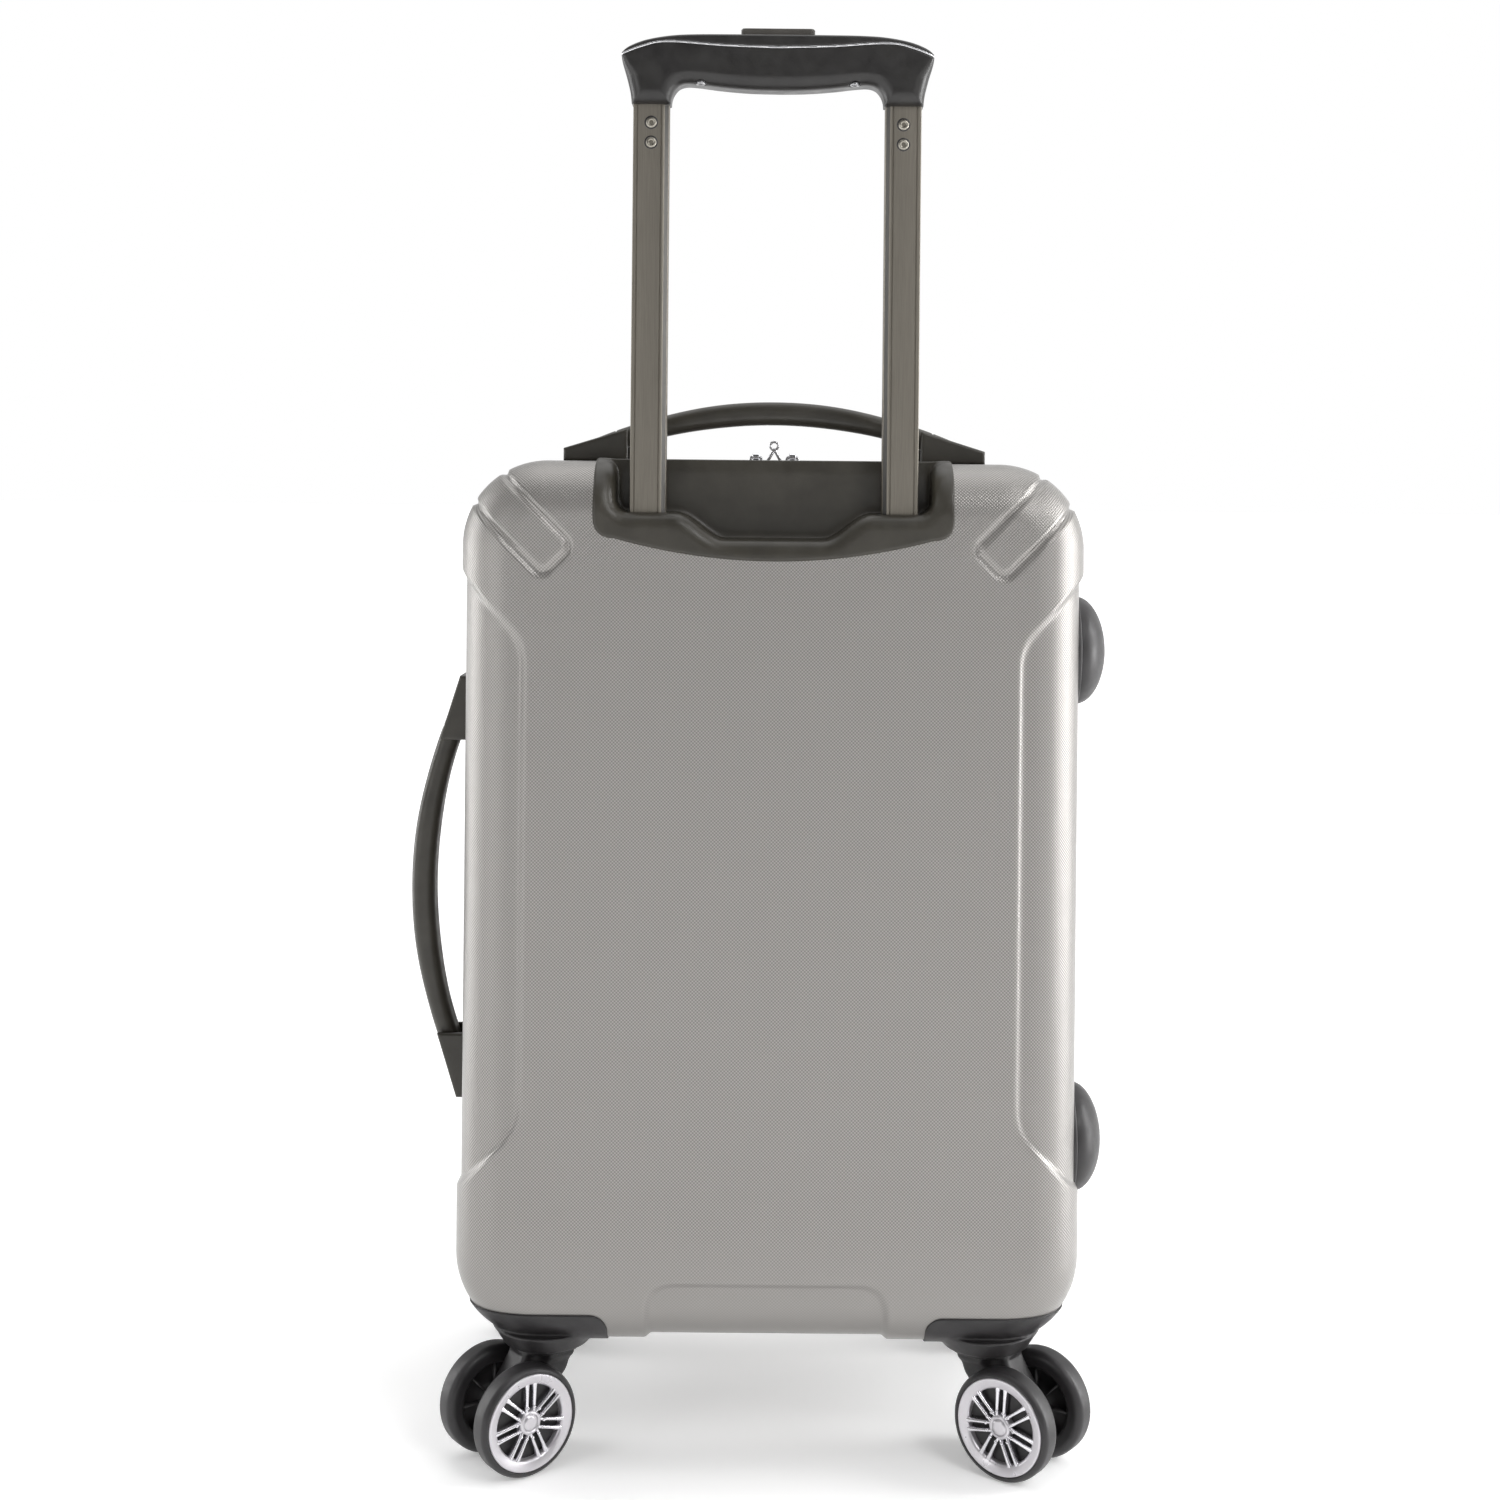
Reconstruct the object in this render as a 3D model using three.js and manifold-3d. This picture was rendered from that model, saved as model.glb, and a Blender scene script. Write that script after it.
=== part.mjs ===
// Hard shell suitcase on four twin-wheel casters, with a two-stage trolley handle.
// Millimetres, +Z up, -Y towards the trolley side, +X towards the side feet.
// Everything is laid out about the shell: x = 0 is its middle, y = 0 is the zip seam and z = 0 the floor.
import * as THREE from 'three';
import { mergeVertices } from 'three/addons/utils/BufferGeometryUtils.js';
import Module from 'manifold-3d';

const wasm = await Module();
wasm.setup();

// ---------------------------------------------------------------- driving dimensions
const SHELL_WIDTH = 350;
const SHELL_HEIGHT = 492;
const BACK_DEPTH = 115; // rear face to seam
const FRONT_DEPTH = 110; // seam to front face
const SHELL_WALL = 2.5;
const EDGE_RADIUS = 30; // round between a face and the sides
const CORNER_RADIUS = 48; // round of the outline
const SEAM_WIDTH = 10; // gap between the shells that the zip fills
const FIT_GAP = 0.3; // between pieces that touch
const CUT_GAP = 0.4; // round a piece let into the shell

const RELIEF_DEPTH = 2.5; // the side panels and the bottom channel are sunk by this
const SIDE_PANEL_WIDTH = 38; // a sunk side panel, as seen from behind
const SIDE_PANEL_DROP = 62.5; // its upper end below the shell's top
const SIDE_PANEL_RISE = 85.5; // its lower end above the shell's bottom
const CHANNEL_INSIDE_TUBES = 3.5; // sunk bottom channel's side, inside a tube's middle
const CHANNEL_RISE = 38; // how far it comes up the rear and front faces
const CHANNEL_CHAMFER = 12;
const GROOVE_DEPTH = 1.4; // U-shaped grooves round the pads of the top corners
const GROOVE_WIDTH = 4.5;
const PAD_HALF_WIDTH = 9.5;
const PAD_REACH = 77; // from the corner of the outline's box to the groove's closed end

const TAPE_INSET = 1.6;
const TAPE_THICKNESS = 4.4;
const TAPE_CLEARANCE = 0.2; // each tape to the seam plane
const LINING_INSET = 6.3;
const LINING_THICKNESS = 1.5;
const STRAP_WIDTH = 25;
const STRAP_THICKNESS = 1.5;
const STRAP_Y = -13;
const STRAP_RISE = 270; // between a strap's two ends
const BUCKLE = new THREE.Vector3(46, 6, 30);
const HINGE_STRIP_MARGIN = 56; // from each end of the strip to the shell's top or bottom
const HINGE_STRIP_BACK = 12; // its width behind the seam
const HINGE_STRIP_FRONT = 22; // its width before the seam
const HINGE_STRIP_THICKNESS = 1.2;

const TUBE_SPACING = 140; // centre to centre
const TUBE_SETBACK = 14.5; // tubes' middle to the rear face
const INNER_TUBE_WIDTH = 20;
const INNER_TUBE_DEPTH = 12;
const INNER_TUBE_CHAMFER = 3;
const TUBE_WALL = 1;
const INNER_TUBE_WALL = 1.2;
const TUBE_CLEARANCE = 0.5; // each side, between one stage and the next
const STAGE_TRAVEL = 225;
const STAGE_OVERLAP = 145; // inner tube left in the mid tube, with the inner stage out
const TUBE_STOP = 3; // mid tube's lower end above the outer tube's
const TUBE_LIFT = 5.5; // outer tube's lower end above the rounded edge
const TUBE_FOOT_WALL = 3; // foot bracket past a tube, sideways
const TUBE_FOOT_FRONT = 1.5; // foot bracket past a tube, towards the inside of the case
const TUBE_FOOT_FLOOR = 4; // foot bracket under a tube
const TUBE_FOOT_RISE = 12; // foot bracket up a tube

const BEZEL_SIDE = 12; // wall beside the pocket
const BEZEL_PROUD = 1;
const BEZEL_BACK = 3; // wall behind the pocket
const BEZEL_DROP = 55; // below the shell's top, in the middle
const BEZEL_SIDE_DROP = 43; // below the shell's top, at the lower corners
const POCKET_CLEARANCE = 1.5; // each side of the grip
const LIP_DROP = 28.5; // the pocket's floor at the tubes, below the shell's top
const SCOOP_DEPTH = 14.5; // finger scoop in the middle of the lip
const SCOOP_HALF_WIDTH = 27;
const SCOOP_RAMP = 28;
const SOCKET_ROOF = 7; // lip left above an outer tube's end

const GRIP_DEPTH = 26;
const GRIP_OVERHANG = 16.5; // grip's end past a tube's middle
const GRIP_SHOULDER = 9; // trim line's high point, inside a tube's middle
const GRIP_LEG_HEIGHT = 8; // legs below the underside's middle
const GRIP_LEG_MARGIN = 0.9; // leg round the tube, each side
const GRIP_BODY_HEIGHT = 23; // underside to the trim line, in the middle
const GRIP_SHOULDER_RISE = 3; // trim line at the shoulders, above its middle
const GRIP_END_FALL = 6.7; // trim line at the ends, below the shoulders
const GRIP_COVER_HEIGHT = 7; // over the trim line, in the middle
const GRIP_COVER_EDGE = 2.2; // over the trim line, at the ends
const TRIM_THICKNESS = 1;
const GRIP_FLOOR = 6; // under the push bar's channel
const CHANNEL_HALF_DEPTH = 4.5;
const TUBE_IN_GRIP = 12; // tube inside the leg
const PLUG_LENGTH = 38; // grip's plug inside the tube
const PLUG_CLEARANCE = 0.3;
const ROD_CLEARANCE = 0.5; // push rod in its bore
const BUTTON_LENGTH = 41;
const BUTTON_DEPTH = 14;
const BUTTON_PROUD = 4.5;
const BUTTON_TRAVEL = 4;
const BUTTON_GAP = 0.5; // round the button
const STEM_FROM_END = 6; // button's stem inside the button's end
const PUSH_BAR_HEIGHT = 3.4;
const PUSH_BAR_DEPTH = 7;
const ROD_RADIUS = 2;
const SPRING_RADIUS = 2.6;
const SPRING_WIRE = 0.4;
const SPRING_TURNS = 4;
const PIN_RADIUS = 2.2;
const PIN_TRAVEL = 2;
const PIN_HEIGHT = 10; // above the inner tube's lower end
const PIN_TIP = 0.2; // out of the inner tube's side
const RIVET_RADIUS = 3;
const RIVET_PROUD = 0.2;
const RIVET_SHANK_RADIUS = 1.3;
const RIVET_DEPTHS = [10, 21]; // below the grip's legs
const SCREW_FROM_TUBE = 27.3;
const SCREW_Y = -8; // from the grip's middle
const SCREW_HEAD_RADIUS = 2.8;
const SCREW_SHANK_RADIUS = 1.5;
const SCREW_LENGTH = 23;
const SCREW_HEAD_HEIGHT = 2;
const SCREW_HEAD_SEAT = 4.6; // top of the head above the grip's underside
const SCREW_SPARE = 1; // hole past the screw's end

const HANDLE_SPAN = 243; // over the brackets
const HANDLE_BAR_SPAN = 204;
const HANDLE_HEIGHT = 35.5;
const HANDLE_THICKNESS = 13.4;
const HANDLE_END_HEIGHT = 8; // middle of the bar's end above the shell
const HANDLE_BAR_DEPTH = 23;
const HANDLE_BRACKET_DEPTH = 29;
const HANDLE_BRACKET_LENGTH = 37;
const HANDLE_BRACKET_LOW = 7.5; // height at the outer end
const HANDLE_BRACKET_HIGH = 19; // height at the inner end
const HANDLE_LIFT = 4;
const HANDLE_FOOT = 4; // bracket's depth below its seat before it is cut back to the case
const HANDLE_SIDE_GAP = 0.5; // bar to bracket, each side
const HANDLE_SLOT_FLOOR = 1; // bracket left under the bar
const TONGUE_LOW = 1.5; // tongue's underside above the seat
const HANDLE_FROM_REAR = 70; // middle of both handles to the rear face
const TONGUE_THICKNESS = 2.5;
const TONGUE_REACH = 8;
const TONGUE_HALF_DEPTH = 8;

const FOOT_RADIUS = 33;
const FOOT_HEIGHT = 19;
const FOOT_FROM_REAR = 60;
const FOOT_DROP = 106.5; // upper foot's middle below the shell's top
const FOOT_RISE = 104.5; // lower foot's middle above the shell's bottom

const WHEEL_RADIUS = 30;
const WHEEL_WIDTH = 14;
const WHEEL_SPACING = 38; // centre to centre of a pair
const WHEEL_EDGE = 5; // round of the tread
const AXLE_RADIUS = 3;
const TRAIL = 25;
const WHEEL_HEADROOM = 7.5; // shell's bottom above the wheels
const SWIVEL_FROM_SIDE = 51;
const SWIVEL_FROM_FACE = 33; // swivel axis to the rear or front face
const TRAIL_TURN = 37; // degrees, from straight out sideways towards the face
const HOUSING_WIDTH = 87;
const HOUSING_REACH = 85; // along the case's depth
const HOUSING_HEIGHT = 20.5; // how far it comes up the case's sides
const HOUSING_PROUD = 1;
const HOUSING_WALL = 4;
const COLLAR_RADIUS = 26.5;
const COLLAR_TAPER = 3;
const COLLAR_DROP = 4.1; // below the shell's bottom
const FORK_HALF_WIDTH = 10;
const FORK_TAIL = 9; // behind the swivel axis
const FORK_BOSS_RADIUS = 11;
const FORK_DISC_RADIUS = 20;
const FORK_DISC_HEIGHT = 2.2;
const STEM_RADIUS = 5;
const FORK_CHEEK = 8; // fork's tail below its disc
const AXLE_FROM_FACE = 5; // axle's end to the wheel's outer face
const BORE_FROM_FACE = 4.5; // bore's end to the wheel's outer face

const SLIDER_START = 4; // slider's inner end from the middle
const SLIDER_LENGTH = 14;
const SLIDER_HALF_DEPTH = 4.4;
const SLIDER_HEIGHT = 3;
const EYELET_RADIUS = 3.2;
const EYELET_HOLE = 1.6;
const EYELET_HEIGHT = 12; // centre of its hole above the slider's foot
const EYELET_THICKNESS = 1.2;
const PULL_LENGTH = 20;
const PULL_HALF_WIDTH = 2.1;
const PULL_THICKNESS = 1.6;
const PULL_EYE = 2.2; // outer radius of its eye
const PULL_DROOP = 8; // degrees, resting on the case
const PULL_SLOT_LENGTH = 5.5;
const PULL_POST = 1.6;
const PULL_PLAY = 0.5; // pull's eye to a post, each side
const PULL_PIN_RADIUS = 1;

// ---------------------------------------------------------------- worked-out dimensions
const HALF_WIDTH = SHELL_WIDTH / 2;
const SHELL_BOTTOM = 2 * WHEEL_RADIUS + WHEEL_HEADROOM;
const SHELL_TOP = SHELL_BOTTOM + SHELL_HEIGHT;
const CASE_MIDDLE_Z = SHELL_BOTTOM + SHELL_HEIGHT / 2;
const SEAM_HALF = SEAM_WIDTH / 2;
const TUBE_X = TUBE_SPACING / 2;
const CHANNEL_HALF_WIDTH = TUBE_X - CHANNEL_INSIDE_TUBES;
const TUBE_Y = TUBE_SETBACK - BACK_DEPTH;
const STAGE_STEP = 2 * (TUBE_CLEARANCE + TUBE_WALL);
const MID_TUBE_WIDTH = INNER_TUBE_WIDTH + STAGE_STEP;
const MID_TUBE_DEPTH = INNER_TUBE_DEPTH + STAGE_STEP;
const OUTER_TUBE_WIDTH = MID_TUBE_WIDTH + STAGE_STEP;
const OUTER_TUBE_DEPTH = MID_TUBE_DEPTH + STAGE_STEP;
const LIP_Z = SHELL_TOP - LIP_DROP;
const MID_TUBE_TOP = LIP_Z - 2;
const OUTER_TUBE_BOTTOM = SHELL_BOTTOM + EDGE_RADIUS + TUBE_LIFT;
const MID_TUBE_BOTTOM = OUTER_TUBE_BOTTOM + TUBE_STOP;
const OUTER_TUBE_TOP = LIP_Z - SOCKET_ROOF;
const GRIP_LEG_Z = LIP_Z + FIT_GAP + STAGE_TRAVEL + 1;
const GRIP_UNDERSIDE = GRIP_LEG_Z + GRIP_LEG_HEIGHT;
const TRIM_LINE = GRIP_UNDERSIDE + GRIP_BODY_HEIGHT;
const INNER_TUBE_TOP = GRIP_LEG_Z + TUBE_IN_GRIP;
const INNER_TUBE_BOTTOM = MID_TUBE_TOP - STAGE_OVERLAP;
const CHANNEL_FLOOR = GRIP_UNDERSIDE + GRIP_FLOOR;
const PUSH_BAR_Z = CHANNEL_FLOOR + BUTTON_TRAVEL + 0.6;
const GRIP_HALF_WIDTH = TUBE_X + GRIP_OVERHANG;
const POCKET_HALF_WIDTH = GRIP_HALF_WIDTH + POCKET_CLEARANCE;
const BEZEL_HALF_WIDTH = POCKET_HALF_WIDTH + BEZEL_SIDE;
const POCKET_Y = TUBE_Y + GRIP_DEPTH / 2 + 1;
const COLLAR_BOTTOM = SHELL_BOTTOM - COLLAR_DROP;
const LINING_BACK_Y = POCKET_Y + BEZEL_BACK + 1;
const FAR = 1000; // past everything

// ---------------------------------------------------------------- solids
function solid(geometry) {
  const bare = geometry.clone();
  bare.deleteAttribute('normal');
  bare.deleteAttribute('uv');
  const welded = mergeVertices(bare, 1e-4);
  const mesh = new wasm.Mesh({
    numProp: 3,
    vertProperties: new Float32Array(welded.attributes.position.array),
    triVerts: new Uint32Array(welded.index.array),
  });
  return new wasm.Manifold(mesh);
}

function geometryOf(body) {
  const mesh = body.getMesh();
  const geometry = new THREE.BufferGeometry();
  geometry.setAttribute('position', new THREE.BufferAttribute(mesh.vertProperties, 3));
  geometry.setIndex(new THREE.BufferAttribute(mesh.triVerts, 1));
  const faceted = geometry.toNonIndexed();
  faceted.computeVertexNormals();
  return faceted;
}

/** A box from its lowest to its highest corner. */
function block(x0, x1, y0, y1, z0, z1) {
  const geometry = new THREE.BoxGeometry(x1 - x0, y1 - y0, z1 - z0);
  return solid(geometry.translate((x0 + x1) / 2, (y0 + y1) / 2, (z0 + z1) / 2));
}

/** A shape drawn in x and z, given a thickness from y0 to y1. */
function slab(shape, y0, y1, segments = 6) {
  const geometry = new THREE.ExtrudeGeometry(shape, {
    depth: y1 - y0,
    bevelEnabled: false,
    curveSegments: segments,
  });
  return solid(geometry.rotateX(Math.PI / 2).translate(0, y1, 0));
}

/** A shape drawn in x and y, given a height from z0 to z1. */
function column(shape, z0, z1) {
  const geometry = new THREE.ExtrudeGeometry(shape, { depth: z1 - z0, bevelEnabled: false });
  return solid(geometry.translate(0, 0, z0));
}

/** A turned solid about +Z: [radius, height] pairs that start and end on the axis. */
function turned(profile, segments = 20) {
  const points = profile.map(([radius, height]) => new THREE.Vector2(radius, height));
  return solid(new THREE.LatheGeometry(points, segments).rotateX(Math.PI / 2));
}

function rod(radius, z0, z1, segments = 16) {
  return turned([[0, z0], [radius, z0], [radius, z1], [0, z1]], segments);
}

/** Turns a solid that stands on +Z so that it points along +Y or +X. */
const alongY = (body) => body.rotate([-90, 0, 0]);
const alongX = (body) => body.rotate([0, 90, 0]);

function polygon(points) {
  return new THREE.Shape(points.map(([x, y]) => new THREE.Vector2(x, y)));
}

/** Closed outline from a right-hand half: the points run from the axis round to the axis. */
function mirrored(points) {
  const left = points.filter(([x]) => x > 0).map(([x, y]) => [-x, y]).reverse();
  return polygon([...points, ...left]);
}

function rectangle(width, depth, x = 0, y = 0, chamfer = 0) {
  const w = width / 2;
  const d = depth / 2;
  if (chamfer === 0) {
    return polygon([[x - w, y - d], [x + w, y - d], [x + w, y + d], [x - w, y + d]]);
  }
  const inner = -Math.sign(x); // the chamfered edges face the other tube
  const corners = [[-inner * w, -d], [inner * (w - chamfer), -d], [inner * w, chamfer - d]];
  corners.push([inner * w, d], [-inner * w, d]);
  const placed = corners.map(([a, b]) => [x + a, y + b]);
  return polygon(inner > 0 ? placed : placed.reverse());
}

const parts = new THREE.Group();

function add(name, body, material) {
  const mesh = new THREE.Mesh(geometryOf(body), material);
  mesh.name = name;
  parts.add(mesh);
}

// ---------------------------------------------------------------- materials
function finish(color, roughness, metalness = 0) {
  return () => new THREE.MeshStandardMaterial({ color, roughness, metalness });
}

const shellGrey = finish(0xa09c99, 0.45);
const darkPlastic = finish(0x3c3932, 0.5);
const gunmetal = finish(0x6e695a, 0.35, 0.9);
const chrome = finish(0xc8c8cc, 0.15, 1);
const steel = finish(0x9a9a9c, 0.3, 1);
const tape = finish(0x26262a, 0.9);
const liningFabric = finish(0x55555c, 0.95);
const tyreRubber = finish(0x4b4648, 0.7);
const blackPlastic = finish(0x2b292b, 0.55);

// ---------------------------------------------------------------- shells
/** The whole closed case's rounded block, every face moved inwards by inset. */
function form(inset, steps = 6) {
  const round = EDGE_RADIUS - inset;
  const w = HALF_WIDTH - EDGE_RADIUS;
  const z0 = SHELL_BOTTOM + EDGE_RADIUS;
  const z1 = SHELL_TOP - EDGE_RADIUS;
  const r = CORNER_RADIUS - EDGE_RADIUS;
  const outline = new THREE.Shape();
  outline.absarc(w - r, z0 + r, r, -Math.PI / 2, 0, false);
  outline.absarc(w - r, z1 - r, r, 0, Math.PI / 2, false);
  outline.absarc(r - w, z1 - r, r, Math.PI / 2, Math.PI, false);
  outline.absarc(r - w, z0 + r, r, Math.PI, 1.5 * Math.PI, false);
  const depth = BACK_DEPTH + FRONT_DEPTH - 2 * EDGE_RADIUS;
  const geometry = new THREE.ExtrudeGeometry(outline, {
    depth,
    bevelSize: round,
    bevelThickness: round,
    bevelSegments: Math.ceil(steps / 2) + 1,
    curveSegments: steps,
  });
  return solid(geometry.rotateX(Math.PI / 2).translate(0, FRONT_DEPTH - EDGE_RADIUS, 0));
}

/** The sunk zones seen from the back: both side panels and the bottom channel. */
function reliefZones(grow) {
  const chamfer = SIDE_PANEL_WIDTH;
  const x = HALF_WIDTH - SIDE_PANEL_WIDTH - grow;
  const low = SHELL_BOTTOM + SIDE_PANEL_RISE - grow;
  const high = SHELL_TOP - SIDE_PANEL_DROP + grow;
  const outer = HALF_WIDTH + 10;
  const side = [[x, low + chamfer], [x + chamfer, low], [outer, low], [outer, high]];
  side.push([x + chamfer, high], [x, high - chamfer]);
  const right = slab(polygon(side), -FAR, FAR);
  const half = CHANNEL_HALF_WIDTH + grow;
  const top = SHELL_BOTTOM + CHANNEL_RISE + grow;
  const channel = mirrored([[half, 0], [half, top - CHANNEL_CHAMFER], [half - CHANNEL_CHAMFER, top]]);
  return right.add(right.mirror([1, 0, 0])).add(slab(channel, -FAR, FAR));
}

/** U-shaped grooves at 45 degrees round the pads of both top corners. */
function grooveZones() {
  const outer = PAD_HALF_WIDTH + GROOVE_WIDTH;
  const length = PAD_REACH + GROOVE_WIDTH;
  const around = slab(polygon([[0, -outer], [length, -outer], [length, outer], [0, outer]]), -FAR, FAR);
  const pad = block(-1, PAD_REACH, -FAR - 1, FAR + 1, -PAD_HALF_WIDTH, PAD_HALF_WIDTH);
  const left = around.subtract(pad).rotate([0, 45, 0]).translate([-HALF_WIDTH, 0, SHELL_TOP]);
  return left.add(left.mirror([1, 0, 0]));
}

/** The case with its reliefs and grooves, every face moved inwards by inset. */
function caseForm(inset, grow = 0, grooved = false) {
  const steps = grooved ? 6 : 3;
  let body = form(inset, steps);
  body = body.subtract(reliefZones(grow).subtract(form(inset + RELIEF_DEPTH, steps)));
  if (grooved) {
    body = body.subtract(grooveZones().subtract(form(inset + GROOVE_DEPTH, steps)));
  }
  return body;
}

const behindSeam = block(-FAR, FAR, -FAR, -SEAM_HALF, -FAR, FAR);
const beforeSeam = block(-FAR, FAR, SEAM_HALF, FAR, -FAR, FAR);
const caseOutside = caseForm(0, 0, true);
const caseInside = caseForm(SHELL_WALL, SHELL_WALL);
const clearOfCase = caseForm(-FIT_GAP); // what sits on the case is cut back to this

/** The bezel's outline seen from the back, open past the top of the case. */
function bezelOutline(grow) {
  const x = BEZEL_HALF_WIDTH + grow;
  const side = SHELL_TOP - BEZEL_SIDE_DROP - grow;
  const drop = 2 * (BEZEL_DROP - BEZEL_SIDE_DROP);
  const corner = 12;
  const outline = new THREE.Shape();
  outline.moveTo(-x, SHELL_TOP + EDGE_RADIUS);
  outline.lineTo(-x, side + corner);
  outline.quadraticCurveTo(-x, side, corner - x, side);
  outline.quadraticCurveTo(0, side - drop, x - corner, side);
  outline.quadraticCurveTo(x, side, x, side + corner);
  outline.lineTo(x, SHELL_TOP + EDGE_RADIUS);
  return outline;
}

const BEZEL_FRONT_Y = POCKET_Y + BEZEL_BACK;
const bezelZone = (grow) => slab(bezelOutline(grow), -FAR, BEZEL_FRONT_Y + grow, 5);

/** One caster housing's corner of the case, on the side sx and the end sy. */
function housingZone(sx, sy, grow) {
  const x0 = HALF_WIDTH - HOUSING_WIDTH - grow;
  const face = sy < 0 ? BACK_DEPTH : FRONT_DEPTH;
  const y0 = face - HOUSING_REACH - grow;
  const zone = block(x0, FAR, y0, FAR, -FAR, SHELL_BOTTOM + HOUSING_HEIGHT + grow);
  const turnedX = sx < 0 ? zone.mirror([1, 0, 0]) : zone;
  return sy < 0 ? turnedX.mirror([0, 1, 0]) : turnedX;
}

let backShell = caseOutside.intersect(behindSeam).subtract(caseInside).subtract(bezelZone(CUT_GAP));
let frontShell = caseOutside.intersect(beforeSeam).subtract(caseInside);
for (const sx of [-1, 1]) {
  backShell = backShell.subtract(housingZone(sx, -1, CUT_GAP));
  frontShell = frontShell.subtract(housingZone(sx, 1, CUT_GAP));
}
add('back_shell', backShell, shellGrey());
add('front_shell', frontShell, shellGrey());

// ---------------------------------------------------------------- zip tapes, linings, straps
const tapeRing = form(TAPE_INSET).subtract(form(TAPE_INSET + TAPE_THICKNESS));
const liningForm = (inset) => form(inset, 3);
const tapeBack = [-SEAM_HALF + FIT_GAP, -TAPE_CLEARANCE];
const tapeFront = [TAPE_CLEARANCE, SEAM_HALF - FIT_GAP];
add('zipper_tape_back', tapeRing.intersect(block(-FAR, FAR, ...tapeBack, -FAR, FAR)), tape());
add('zipper_tape_front', tapeRing.intersect(block(-FAR, FAR, ...tapeFront, -FAR, FAR)), tape());

function liningTray(y0, y1, wallY0, wallY1) {
  const outer = liningForm(LINING_INSET).intersect(block(-FAR, FAR, y0, y1, -FAR, FAR));
  const hollow = liningForm(LINING_INSET + LINING_THICKNESS);
  return outer.subtract(hollow.intersect(block(-FAR, FAR, wallY0, wallY1, -FAR, FAR)));
}

const liningEdge = SEAM_HALF - 1;
const backTray = liningTray(LINING_BACK_Y, -liningEdge, LINING_BACK_Y + LINING_THICKNESS, FAR);
const frontTray = liningTray(liningEdge, FAR, -FAR, FAR);
add('lining_back', backTray, liningFabric());
add('lining_front', frontTray, liningFabric());

const LINED_INSET = LINING_INSET + LINING_THICKNESS + FIT_GAP;
const strapRun = SHELL_WIDTH - 2 * LINED_INSET;
const strapAngle = THREE.MathUtils.radToDeg(Math.atan2(STRAP_RISE, strapRun));
/** A box round the origin, by its three sizes. */
const centred = (x, y, z) => block(-x / 2, x / 2, -y / 2, y / 2, -z / 2, z / 2);
const strapBar = centred(2 * FAR, STRAP_THICKNESS, STRAP_WIDTH);
const buckle = centred(BUCKLE.x, BUCKLE.y, BUCKLE.z);
const straps = strapBar.rotate([0, strapAngle, 0]).add(strapBar.rotate([0, -strapAngle, 0])).add(buckle);
const strapsInPlace = straps.translate([0, STRAP_Y, CASE_MIDDLE_Z]).intersect(form(LINED_INSET));
add('cross_strap', strapsInPlace, tape());

const stripX = HALF_WIDTH - LINED_INSET;
const stripHalf = SHELL_HEIGHT / 2 - HINGE_STRIP_MARGIN;
add(
  'hinge_strip',
  block(
    stripX - HINGE_STRIP_THICKNESS, stripX,
    -HINGE_STRIP_BACK, HINGE_STRIP_FRONT,
    CASE_MIDDLE_Z - stripHalf, CASE_MIDDLE_Z + stripHalf,
  ).subtract(strapsInPlace),
  liningFabric(),
);

// ---------------------------------------------------------------- trolley bezel
/** The pocket seen from the back: a floor with a finger scoop, and open at the top. */
function pocketOutline() {
  const rampTop = SCOOP_HALF_WIDTH + SCOOP_RAMP;
  const scoop = LIP_Z - SCOOP_DEPTH;
  const middle = (SCOOP_HALF_WIDTH + rampTop) / 2;
  const outline = new THREE.Shape();
  outline.moveTo(-POCKET_HALF_WIDTH, FAR);
  outline.lineTo(-POCKET_HALF_WIDTH, LIP_Z);
  outline.lineTo(-rampTop, LIP_Z);
  outline.bezierCurveTo(-middle, LIP_Z, -middle, scoop, -SCOOP_HALF_WIDTH, scoop);
  outline.lineTo(SCOOP_HALF_WIDTH, scoop);
  outline.bezierCurveTo(middle, scoop, middle, LIP_Z, rampTop, LIP_Z);
  outline.lineTo(POCKET_HALF_WIDTH, LIP_Z);
  outline.lineTo(POCKET_HALF_WIDTH, FAR);
  return outline;
}

let bezel = form(-BEZEL_PROUD).intersect(bezelZone(0));
bezel = bezel.subtract(slab(pocketOutline(), -FAR, POCKET_Y, 5));
for (const x of [-TUBE_X, TUBE_X]) {
  const passage = 2 * TUBE_CLEARANCE;
  const midHole = rectangle(MID_TUBE_WIDTH + passage, MID_TUBE_DEPTH + passage, x, TUBE_Y);
  const outerHole = rectangle(OUTER_TUBE_WIDTH + 2 * FIT_GAP, OUTER_TUBE_DEPTH + 2 * FIT_GAP, x, TUBE_Y);
  bezel = bezel.subtract(column(midHole, 0, LIP_Z + 1));
  bezel = bezel.subtract(column(outerHole, 0, OUTER_TUBE_TOP + FIT_GAP));
}
add('trolley_bezel', bezel, darkPlastic());

// ---------------------------------------------------------------- trolley tubes
function tubeSection(width, depth, wall, x, chamfer = 0) {
  const outer = rectangle(width, depth, x, TUBE_Y, chamfer);
  const inner = rectangle(width - 2 * wall, depth - 2 * wall, x, TUBE_Y, chamfer * 0.8);
  return { outer, inner };
}

function tube(section, z0, z1) {
  return column(section.outer, z0, z1).subtract(column(section.inner, z0 - 1, z1 + 1));
}

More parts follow.
